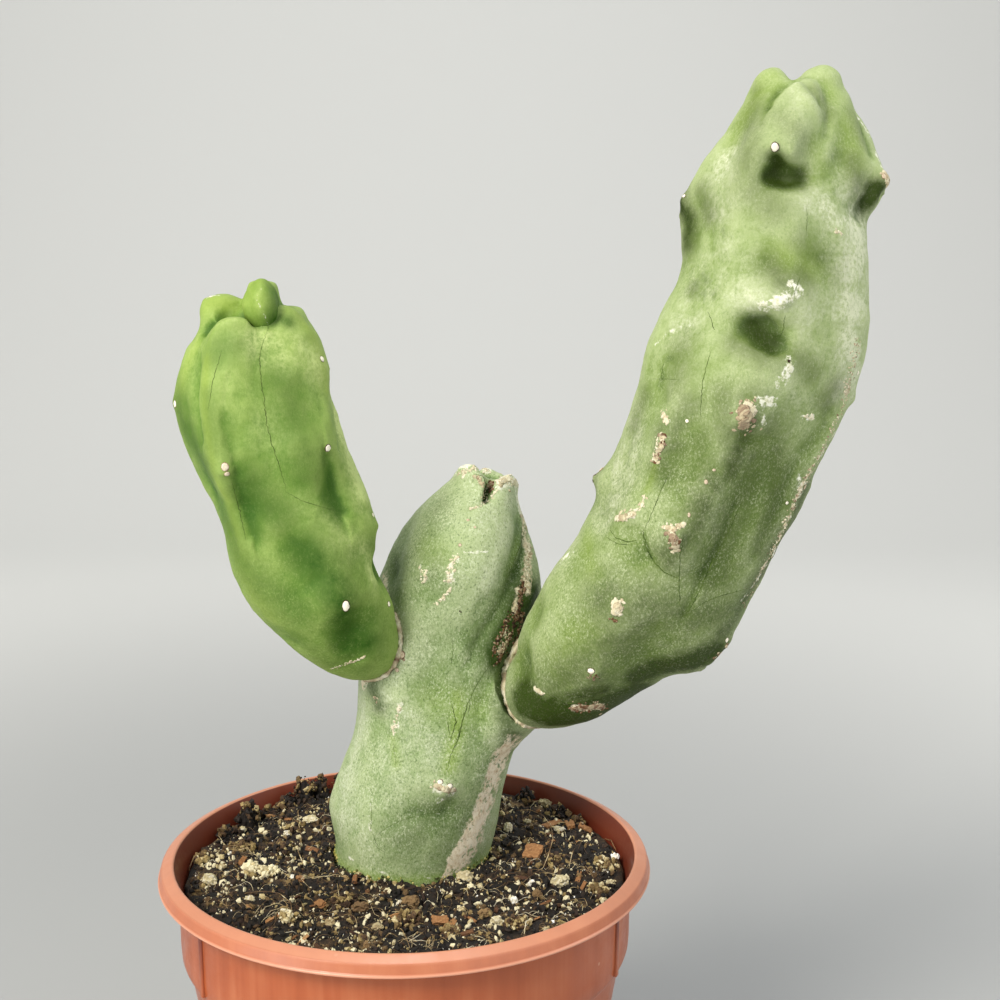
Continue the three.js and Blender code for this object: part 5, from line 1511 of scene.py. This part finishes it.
soilLook = {
    "voxel": 1.5,
    "reach": 61.6,
    "lowest": 105,  # what a pixel or a ray meets below this height is the trunk's hole
    "above": 130,  # where rays start down to the soil
    "roughFrom": 106,
    "lumps": ((7, 4), (2.6, 2.6)),  # sizes and strengths of the rough top
    "seed": 41,
    "crumbs": 7400,
    "crumbSize": (0.25, 1.25),
    "crumbShades": (1.25, 2.8),  # the palest, and the power that makes most of them dark
    "patches": 14,  # mm across the darker and the paler patches of crumbs
    "patchDepth": 0.45,
    "core": (0.72, 0.78),  # a heap's dark core, as shares of the heap's reach and height
    "heapCrumbs": 16,  # for each mm of a heap's reach
    "heapCrumbSize": (0.3, 1.3),
    "heapUneven": (0.75, 1.08),
    "heapLumps": (0.9, 0.5),
    "moss": 420,
    "mossSize": (0.22, 0.6),
    "mossHeights": (109.5, 113.5),
    "mossReach": 1.3,  # how far from the soil it grows
    "loosePumice": 20,
    "loosePumiceSize": (0.6, 1.2),
    "pumiceLumps": ((1.6, 0.9), (0.7, 0.25)),
    "looseBark": 80,
    "looseBarkSize": ((1.5, 4), (0.5, 1.4), (0.3, 0.8)),
    "looseBarkTilt": (-0.7, 0.7),
    "grit": 1900,
    "gritSize": (0.12, 0.44),
    "fibres": 420,
    "fibreRadius": 0.06,
    "fibreLength": (2, 7),
    "fibreBend": (-1.4, 1.4),
    "fibreParts": 6,
    "fibreLift": (0.25, 0.9),  # mm above the soil at its ends, and more in its middle
    "fibreLiftSeen": (0.5, 1.4),  # the same for those seen in the photo
    "pebblePixel": 0.25,  # mm that a pixel covers here
    "barkPixel": (0.28, 0.34),  # the same along and across a flake, which lies foreshortened
    "barkThick": 1.1,
}
moundsSeen = {  # heaps of crumbs: pixel, reach and height in mm, and their darkest and palest shade
    "backHeap": ((303, 788), (3.8, 7.0), (0.1, 0.85)),
    "backHeapHigh": ((318, 786), (3.8, 7.2), (0.1, 0.8)),
    "backHeapRight": ((336, 782), (3.6, 6.4), (0.1, 0.85)),
    "backHeapLeft": ((282, 794), (3.4, 3.6), (0.0, 0.6)),
    "backHeapLow": ((262, 800), (3.4, 2.8), (0.1, 0.7)),
    "leftHeap": ((236, 814), (3.8, 6.2), (0.1, 0.8)),
    "leftHeapRight": ((252, 812), (3.0, 3.4), (0.1, 0.6)),
    "leftHeapLeft": ((218, 828), (3.0, 3.0), (0.0, 0.6)),
    "leftHeapFoot": ((226, 832), (3.4, 2.0), (0.1, 0.7)),
    "middleHeap": ((282, 806), (3.4, 2.2), (0.1, 0.75)),
    "ridge": ((296, 830), (3.2, 1.6), (0.2, 0.9)),
    "ridgeLow": ((286, 850), (3.4, 1.4), (0.1, 0.9)),
    "lichen": ((252, 870), (2.8, 1.5), (0.85, 1.3)),
    "lichenRight": ((268, 874), (3.0, 1.6), (0.85, 1.3)),
    "lichenFront": ((288, 920), (2.4, 1.6), (0.7, 1.1)),
    "leftWall": ((196, 860), (3.4, 1.6), (0.4, 0.95)),
    "leftMoss": ((240, 850), (4.4, 1.2), (0.45, 0.8)),
    "frontBrown": ((345, 905), (4.6, 1.8), (0.3, 0.75)),
    "frontOlive": ((410, 922), (5.0, 1.8), (0.4, 0.85)),
    "frontRight": ((450, 935), (4.0, 1.6), (0.45, 0.95)),
    "rightBack": ((530, 792), (2.8, 2.8), (0.0, 0.6)),
    "rightBackTwo": ((562, 812), (3.4, 2.6), (0.1, 0.75)),
    "rightBackThree": ((590, 818), (3.0, 2.4), (0.2, 0.8)),
    "rightWall": ((606, 866), (3.6, 1.8), (0.5, 1.0)),
    "rightWallLow": ((596, 892), (3.6, 1.5), (0.5, 0.95)),
    "rightMoss": ((556, 862), (4.0, 1.2), (0.3, 0.8)),
    "rightFront": ((520, 925), (3.6, 1.4), (0.4, 0.9)),
}
patchesSeen = {  # paler or darker crumbs, beside the stem a painted shadow: pixel, reach in mm, change of shade
    "leftWall": ((200, 872), 9, 0.3),
    "leftMiddle": ((250, 866), 8, 0.25),
    "behindLichen": ((298, 824), 5, 0.35),
    "middleGap": ((342, 862), 4, -0.3),
    "shadowBesideStem": ((472, 866), 9, -0.6),
    "rightMiddle": ((524, 850), 6, -0.4),
    "rightBack": ((540, 800), 6, 0.3),
    "rightShade": ((560, 856), 13, -0.4),
    "backShade": ((250, 806), 6, -0.25),
}
# pebbles seen in the photo: pixel, width and height in pixels, and how pale from 0 to 1
pebblesSeen = {
    "creamByWall": ((241, 832), (13, 8), 0.8),
    "brightFront": ((210, 882), (16, 14), 0.8),
    "backOne": ((264, 808), (9, 7), 0.8),
    "backTwo": ((275, 813), (9, 7), 0.85),
    "backFlat": ((310, 820), (18, 6), 0.8),
    "roundOne": ((288, 835), (10, 8), 0.85),
    "smallBack": ((240, 794), (7, 5), 0.7),
    "frontLeft": ((285, 915), (12, 9), 0.85),
    "frontLow": ((250, 900), (9, 7), 0.8),
    "lichenOne": ((252, 868), (13, 9), 0.62),
    "lichenTwo": ((266, 873), (14, 10), 0.66),
    "pinkGravel": ((345, 880), (9, 7), 0.45),
    "tanPebble": ((410, 905), (18, 15), 0.3),
    "greenishTan": ((360, 910), (17, 12), 0.22),
    "rightBackOne": ((500, 800), (11, 9), 0.8),
    "rightBackTwo": ((525, 803), (13, 8), 0.4),
    "rightBackThree": ((545, 805), (16, 9), 0.7),
    "rightBackFour": ((556, 813), (8, 6), 0.95),
    "creamTriangle": ((508, 830), (10, 13), 0.8),
    "tanPink": ((497, 841), (9, 8), 0.5),
    "whiteOne": ((528, 822), (8, 6), 0.8),
    "whiteOnBark": ((560, 831), (13, 9), 0.85),
    "largeCream": ((560, 885), (17, 18), 0.8),
    "tanOval": ((537, 898), (11, 15), 0.3),
    "creamYellow": ((514, 903), (7, 13), 0.9),
    "smallCream": ((531, 885), (8, 8), 0.9),
    "tanGrey": ((484, 915), (12, 10), 0.35),
    "brightTriangle": ((498, 925), (16, 13), 0.8),
    "greyCream": ((465, 880), (18, 14), 0.75),
    "wallOne": ((605, 870), (11, 9), 0.85),
    "wallTwo": ((615, 858), (8, 10), 0.95),
    "wallThree": ((597, 866), (9, 8), 0.7),
    "wallFour": ((611, 884), (11, 8), 0.8),
    "wallFive": ((600, 897), (9, 8), 0.75),
    "smallRight": ((477, 880), (6, 5), 0.8),
    "frontMiddle": ((410, 878), (7, 5), 0.8),
    "leftOne": ((222, 868), (9, 6), 0.6),
    "frontEdgeOne": ((330, 925), (12, 8), 0.55),
    "frontEdgeTwo": ((378, 928), (11, 8), 0.6),
}
barkSeen = {  # pixel, length and width in pixels, and the turn in degrees
    "orangeStrip": ((552, 826), (24, 8), -10),
    "orangeEnd": ((570, 826), (14, 7), 25),
    "slattedPiece": ((533, 853), (17, 15), 5),
    "frontBark": ((450, 928), (24, 8), -4),
    "frontBarkTwo": ((440, 922), (15, 7), 12),
    "leftBark": ((300, 880), (14, 6), 30),
    "leftBarkTwo": ((320, 905), (16, 6), -25),
    "backBark": ((585, 830), (15, 6), 60),
}
fibresSeen = {  # pixels along each fibre, and its radius in millimetres
    "overTheRim": ([(152, 860), (158, 855), (165, 852), (172, 853), (178, 860), (181, 870)], 0.16),
    "frontLong": ([(245, 895), (265, 897), (280, 900), (291, 908), (293, 925)], 0.14),
    "frontShort": ([(278, 900), (268, 906), (255, 915)], 0.12),
    "whiteRoot": ([(298, 812), (299, 830), (302, 845), (298, 855), (303, 865)], 0.17),
    "leftShort": ([(215, 835), (219, 842), (225, 848)], 0.12),
    "middleShort": ([(337, 885), (338, 895), (340, 905)], 0.12),
    "lowShort": ([(400, 930), (404, 940), (410, 950)], 0.12),
    "strawArc": ([(515, 812), (530, 813), (543, 820), (551, 832), (553, 845), (548, 862), (543, 873),
                  (530, 880), (520, 888), (517, 895)], 0.15),
    "strawOne": ([(463, 855), (462, 861), (461, 867)], 0.2),
    "strawTwo": ([(575, 850), (572, 860), (569, 870)], 0.15),
    "brownRoot": ([(480, 892), (492, 885), (505, 880), (525, 876)], 0.12),
    "wallRoot": ([(608, 838), (611, 846), (616, 852)], 0.14),
    "frontRoot": ([(524, 938), (526, 928), (535, 922)], 0.13),
}


def makeSoilBody(material):
    body = copyNode("soil", "soil_mix")
    applyModifier(body, "REMESH", mode="VOXEL", voxel_size=soilLook["voxel"] * mm)
    places = placesOf(body.data)
    top = body.vertex_groups.new(name="top")
    inside = np.hypot(places[:, 0], places[:, 1]) < soilLook["reach"] * mm
    top.add(np.flatnonzero(inside & (places[:, 2] > soilLook["roughFrom"] * mm)).tolist(), 1, "REPLACE")
    for size, strength in soilLook["lumps"]:
        relief(body, size, strength, "top")
    paintClouds(body, 0.5, 0.35, 5)
    dress(body, material)
    smoothShade(body)
    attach(body, "root")
    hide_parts("soil")
    return body


def soilSpots(surface, trunk, count, room):  # random places on the soil, clear of the trunk
    spots = []
    while len(spots) < count:
        radius = (soilLook["reach"] - room) * math.sqrt(random.random())
        turn = random.random() * math.tau
        x, y, z = radius * math.cos(turn) * mm, radius * math.sin(turn) * mm, soilLook["above"] * mm
        place, normal, _, _ = surface.ray_cast(Vector((x, y, z)), Vector((0, 0, -1)))
        if place is None or place.z < soilLook["lowest"] * mm:
            continue
        near, outwards, _, gap = trunk.find_nearest(place)
        if gap < room * mm or (place - near).dot(outwards) < 0:
            continue
        spots.append((place, normal))
    return spots


def tumbled(place, size, sunk=0.25, flat=1):  # any way up, resting a little into the soil
    spin = Matrix()
    for axis in "XYZ":
        spin = spin @ Matrix.Rotation(anyTurn(), 4, axis)
    lift = Vector((0, 0, size * flat * (1 - 2 * sunk) * 0.5))
    return Matrix.Translation(Vector(place) + lift) @ spin @ Matrix.Diagonal((size, size, size * flat, 1))


def skewed(lowest, highest):  # mostly small
    return lowest + (highest - lowest) * random.random() ** 2.4


def scatterCrumbs(surface, trunk, material):
    shapes = [lumpShape("crumb", 1, (1, 0.85, 0.7), 0.28, seed) for seed in range(5)]
    random.seed(soilLook["seed"])
    patches = [(onSkin(surface, pixel)[0], reach * mm, by) for pixel, reach, by in patchesSeen.values()]
    palest, power = soilLook["crumbShades"]
    copies = []
    for place, _ in soilSpots(surface, trunk, soilLook["crumbs"], 0.6):
        size = skewed(*soilLook["crumbSize"]) * mm
        shade = palest * random.random() ** power
        shade += soilLook["patchDepth"] * noise.noise(place / (soilLook["patches"] * mm))
        shade += sum(by * bell((place - spot).length / reach) for spot, reach, by in patches)
        copies.append((random.choice(shapes), tumbled(place, size, flat=0.8), shade))
    return joinCopies("soil_crumbs", copies, material, smooth=False)


def keptInside(place, room):  # moved towards the middle where it would reach into the pot's wall
    furthest = (soilLook["reach"] - room) * mm
    share = min(1, furthest / place.xy.length)
    return Vector((place.x * share, place.y * share, place.z))


def heapMounds(surface, material):  # a dark core under a heap of loose crumbs
    shapes = [lumpShape("crumb", 1, (1, 0.8, 0.7), 0.3, seed) for seed in range(5)]
    core = lumpShape("core", 3, (1, 1, 1), 0.15, 1)
    random.seed(soilLook["seed"] + 1)
    copies = []
    for pixel, (reach, height), (darkest, palest) in moundsSeen.values():
        place, _ = onSkin(surface, pixel)
        across, upwards = soilLook["core"]
        place = keptInside(place, reach * across - 1)
        size = [reach * across * mm, reach * across * mm, height * upwards * mm]
        copies.append((core, Matrix.Translation(place) @ Matrix.Diagonal((*size, 1)), darkest))
        for _ in range(round(soilLook["heapCrumbs"] * reach)):
            turn, out = anyTurn(), math.sqrt(random.random())
            rise = math.sqrt(1 - out * out) * height * random.uniform(*soilLook["heapUneven"])
            spot = place + Vector((reach * out * math.cos(turn), reach * out * math.sin(turn), rise)) * mm
            size = skewed(*soilLook["heapCrumbSize"]) * mm
            shade = darkest + (palest - darkest) * random.random() ** 1.4
            spot = keptInside(spot, 0.2)
            copies.append((random.choice(shapes), tumbled(spot, size), shade))
    mounds = joinCopies("soil_mounds", copies, material, smooth=False)
    relief(mounds, *soilLook["heapLumps"])
    return mounds


def scatterMoss(trunkSkin, surface, material):  # a thin green crust round the stem's foot
    shapes = [lumpShape("moss", 1, (1, 0.9, 0.8), 0.3, seed) for seed in range(3)]
    random.seed(soilLook["seed"] + 6)
    low, high = soilLook["mossHeights"]
    foot = [Vector(place) for place in placesOf(trunkSkin.data) if low * mm < place[2] < high * mm]
    copies = []
    while len(copies) < soilLook["moss"]:
        place = random.choice(foot)
        _, _, _, gap = surface.find_nearest(place)
        if gap > soilLook["mossReach"] * mm:
            continue
        size = random.uniform(*soilLook["mossSize"]) * mm
        copies.append((random.choice(shapes), tumbled(place, size, 0.5), random.random()))
    return joinCopies("soil_moss", copies, material, smooth=False)


def scatterPumice(surface, trunk, material):
    shapes = [lumpShape("pumice", 3, (1, 0.8, 0.7), 0.16, seed) for seed in range(4)]
    random.seed(soilLook["seed"] + 2)
    copies = []
    pixelHere = soilLook["pebblePixel"]
    for pixel, (wide, tall), pale in pebblesSeen.values():
        place, _ = onSkin(surface, pixel)
        if place.z < soilLook["lowest"] * mm:
            continue
        width, height = wide * pixelHere * mm / 2, tall * pixelHere * mm / 2
        place = keptInside(place, width / mm - 1)
        lift = Matrix.Translation(place + Vector((0, 0, height * 0.45)))
        turn = Matrix.Rotation(random.uniform(-0.5, 0.5), 4, "Y")
        turn = turn @ Matrix.Rotation(random.uniform(0, 3), 4, "X")
        size = Matrix.Diagonal((width * 1.1, width, height * 1.2, 1))
        copies.append((random.choice(shapes), lift @ turn @ size, pale))
    for place, _ in soilSpots(surface, trunk, soilLook["loosePumice"], 3):
        size = random.uniform(*soilLook["loosePumiceSize"]) * mm
        copies.append((random.choice(shapes), tumbled(place, size), random.uniform(0.2, 1)))
    pumice = joinCopies("soil_pumice", copies, material, smooth=False)
    for size, strength in soilLook["pumiceLumps"]:
        relief(pumice, size, strength)
    return pumice


def scatterGrit(surface, trunk, material):
    shapes = [lumpShape("grit", 1, (1, 0.8, 0.8), 0.25, seed) for seed in range(3)]
    random.seed(soilLook["seed"] + 3)
    copies = []
    for place, _ in soilSpots(surface, trunk, soilLook["grit"], 1):
        size = skewed(*soilLook["gritSize"]) * mm
        copies.append((random.choice(shapes), tumbled(place, size, 0.1), random.uniform(0.3, 1)))
    return joinCopies("soil_grit", copies, material, smooth=False)


def barkShape(seed):  # a split flake of bark
    flake = block((1 / mm, 1 / mm, 1 / mm), (0, 0, 0))
    editAll()
    bpy.ops.mesh.subdivide(number_cuts=3)
    bpy.ops.transform.vertex_random(offset=0.1, uniform=0.5, normal=0.3, seed=seed)
    bpy.ops.object.mode_set(mode="OBJECT")
    return takeShape(flake)


def scatterBark(surface, trunk, material):
    shapes = [barkShape(seed) for seed in range(4)]
    random.seed(soilLook["seed"] + 4)
    copies = []
    for pixel, (length, width), turn in barkSeen.values():
        place, normal = onSkin(surface, pixel)
        along, across = soilLook["barkPixel"]
        size = (length * along * mm, width * across * mm, soilLook["barkThick"] * mm)
        spot = place + Vector((0, 0, 0.5 * mm))
        copies.append((random.choice(shapes), laidOn(spot, normal, size, -math.radians(turn)), 0.8))
    for place, normal in soilSpots(surface, trunk, soilLook["looseBark"], 3):
        size = [random.uniform(least, most) * mm for least, most in soilLook["looseBarkSize"]]
        tilts = soilLook["looseBarkTilt"]
        tilt = Vector(normal) + Vector((random.uniform(*tilts), random.uniform(*tilts), 0))
        matrix = laidOn(place + Vector((0, 0, 0.4 * mm)), tilt, size, anyTurn())
        copies.append((random.choice(shapes), matrix, random.random()))
    return joinCopies("soil_bark", copies, material, smooth=False)


def scatterFibres(surface, trunk, material):
    random.seed(soilLook["seed"] + 5)
    lines = []
    for pixels, radius in fibresSeen.values():
        path = alongPixels(pixels, 4)
        line = []
        for number, pixel in enumerate(path):
            place, _ = onSkin(surface, pixel)
            if place.z < soilLook["lowest"] * mm:
                continue
            least, more = soilLook["fibreLiftSeen"]
            lift = least + more * math.sin(math.pi * number / max(1, len(path) - 1))
            line.append((place + Vector((0, 0, lift * mm)), radius * mm * (0.5 + 0.5 * random.random())))
        if len(line) > 2:
            lines.append(line)
    for place, _ in soilSpots(surface, trunk, soilLook["fibres"], 5):
        heading, length = anyTurn(), random.uniform(*soilLook["fibreLength"]) * mm
        bend, line = random.uniform(*soilLook["fibreBend"]), []
        for number in range(soilLook["fibreParts"] + 1):
            share = number / soilLook["fibreParts"]
            turn = heading + bend * share
            spot = place + Vector((math.cos(turn), math.sin(turn), 0)) * (share * length)
            if spot.xy.length > soilLook["reach"] * mm:
                break
            start = Vector((spot.x, spot.y, soilLook["above"] * mm))
            found, _, _, _ = surface.ray_cast(start, Vector((0, 0, -1)))
            if found is None or found.z < soilLook["lowest"] * mm:
                break
            least, more = soilLook["fibreLift"]
            lift = (least + more * math.sin(math.pi * share)) * mm
            radius = soilLook["fibreRadius"] * mm * random.uniform(0.6, 1.2)
            line.append((found + Vector((0, 0, lift)), radius))
        if len(line) > 2:
            lines.append(line)
    fibres = strands("soil_fibres", lines, material)
    paintClouds(fibres, 0.4, 1.1, 6)
    return fibres


soilMaterials = {
    "mix": makeSpotted("damp_peat", (
        (0.3, "#0c0805"), (0.5, "#1a120b"), (0.63, "#3d2c1a"), (0.76, "#7d6742")), 0.85, 1.1, 1),
    "crumb": makeSpotted("peat_crumbs", (
        (0.08, "#120c08"), (0.3, "#2a1b10"), (0.44, "#4d3620"), (0.58, "#725d38"), (0.72, "#9a8554"),
        (0.86, "#c2b285"), (0.98, "#e3d9b6")), 0.8, 0.5, 0.5),
    "moss": makeSpotted("moss_and_algae", (
        (0.1, "#39421a"), (0.4, "#77792f"), (0.7, "#a79d4b"), (0.95, "#c9bd78")), 0.85, 0.5, 0.5),
    "pumice": makeSpotted("crushed_pumice", (
        (0.2, "#6c5438"), (0.42, "#94784f"), (0.62, "#aa9d7a"), (0.8, "#c2b68f"),
        (1.0, "#d8cfae")), 0.85, 0.9, 0.8),
    "bark": makeSpotted("composted_bark", (
        (0.2, "#2e1c12"), (0.5, "#5b3a22"), (0.8, "#94673d"), (0.97, "#b58a5c")), 0.8, 0.7, 0.6),
    "fibre": makeSpotted("coir_fibres", (
        (0.1, "#5a4128"), (0.4, "#a08458"), (0.7, "#d3c39a"), (0.95, "#ece4cb")), 0.6, 2, 0.1),
}

trunkSurface = surfaceOf(stems["trunk"][0])
soilBody = makeSoilBody(soilMaterials["mix"])
soilSurface = surfaceOf(soilBody)
soilPieces = [
    scatterCrumbs(soilSurface, trunkSurface, soilMaterials["crumb"]),
    heapMounds(soilSurface, soilMaterials["crumb"]),
    scatterMoss(stems["trunk"][0], soilSurface, soilMaterials["moss"]),
    scatterPumice(soilSurface, trunkSurface, soilMaterials["pumice"]),
    scatterGrit(soilSurface, trunkSurface, soilMaterials["pumice"]),
    scatterBark(soilSurface, trunkSurface, soilMaterials["bark"]),
    scatterFibres(soilSurface, trunkSurface, soilMaterials["fibre"]),
]
for piece in soilPieces:
    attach(piece, "root")
print("soil done", len(soilBody.data.polygons), [len(piece.data.polygons) for piece in soilPieces], "faces")


# The stage: a pale sweep with a painted shadow on its floor, and soft light from the upper left and the
# front

stageLook = {
    # the floor's colour is a painted shadow round shadeAt, fading out to the wall's colour
    "floor": "#a4a6a6",
    "wall": "#d6d7d5",
    "shadeAt": (-0.04, 0.2, 0),  # metres: where the sweep is darkest
    "shadeReach": (0.12, 0.75),  # metres from there over which it turns from the floor's shade to the wall's
    "below": 0.6,  # mm under the pot's foot
    "floorSize": (5, -0.6),  # metres across, and where its middle lies from front to back
    "wallHeight": 3,
    "bend": 0.9,  # metres from the wall at which the sweep starts to rise
    "lights": {  # place and aim in metres, size, power and colour
        "keyLight": ((-0.68, -0.9, 1.1), (0.03, 0, 0.2), 0.6, 23, "#fff9ee"),
        "leftLight": ((-0.75, -0.6, 0.12), (-0.03, 0, 0.08), 0.5, 2.6, "#ffffff"),
        "rightLight": ((0.8, 0.1, 0.75), (0.06, 0, 0.25), 0.5, 2.6, "#ffffff"),
        "fillLight": ((0.9, -0.9, 0.6), (0.03, 0, 0.2), 1.4, 4, "#f6f8ff"),
        "wallLight": ((0, 0.5, 2.2), (0, 1.8, 0.5), 1.0, 16, "#ffffff"),
    },
    "world": "#e2e3e2",
    "worldStrength": 0.5,
}


def makeSweep():
    wide, back = stageLook["floorSize"]
    place = (0, back, -stageLook["below"] * mm)
    sweep = newShape(bpy.ops.mesh.primitive_plane_add, size=wide, location=place)
    sweep.name = "paleSweep"
    bpy.ops.object.transform_apply(location=True, rotation=True, scale=True)
    bpy.ops.object.mode_set(mode="EDIT")
    bpy.ops.mesh.select_mode(type="EDGE")
    bpy.ops.mesh.select_all(action="DESELECT")
    bpy.ops.object.mode_set(mode="OBJECT")
    for edge in sweep.data.edges:
        edge.select = all(sweep.data.vertices[v].co.y > 1 for v in edge.vertices)
    bpy.ops.object.mode_set(mode="EDIT")
    bpy.ops.mesh.extrude_region_move(TRANSFORM_OT_translate={"value": (0, 0, stageLook["wallHeight"])})
    bpy.ops.object.mode_set(mode="OBJECT")
    applyModifier(sweep, "BEVEL", width=stageLook["bend"], segments=24, limit_method="ANGLE", angle_limit=1)
    smoothShade(sweep)
    material, add = newMaterial("pale_paper_sweep")
    coords = add("TexCoord").outputs["Object"]
    # painted shadow: the sweep darker near shadeAt, lighter further off
    away = add("VectorMath", {0: coords, 1: stageLook["shadeAt"]}, operation="DISTANCE")
    near, far = stageLook["shadeReach"]
    share = add("MapRange", {"Value": away.outputs["Value"], "From Min": near, "From Max": far},
                interpolation_type="SMOOTHSTEP")
    colour = add("MixRGB", {"Fac": share, "Color1": stageLook["floor"], "Color2": stageLook["wall"]})
    shader = add("BsdfPrincipled", {"Base Color": colour, "Roughness": 0.9})
    add("OutputMaterial", {"Surface": shader})
    sweep.data.materials.append(material)


def makeLight(name, place, aim, size, power, colour):
    data = bpy.data.lights.new(name, "AREA")
    data.shape = "DISK"
    data.size = size
    data.energy = power
    data.color = linear(colour)[:3]
    light = bpy.data.objects.new(name, data)
    light.location = place
    light.rotation_euler = (Vector(aim) - light.location).to_track_quat("-Z", "Y").to_euler()
    bpy.context.scene.collection.objects.link(light)


def makeWorld():
    world = bpy.data.worlds.new("studioSky")
    world.use_nodes = True
    world.node_tree.nodes.clear()
    add = partial(addNode, world.node_tree)
    sky = add("Background", {"Color": stageLook["world"], "Strength": stageLook["worldStrength"]})
    add("OutputWorld", {"Surface": sky})
    bpy.context.scene.world = world


makeSweep()
for name, look in stageLook["lights"].items():
    makeLight(name, *look)
makeWorld()
print("stage done")
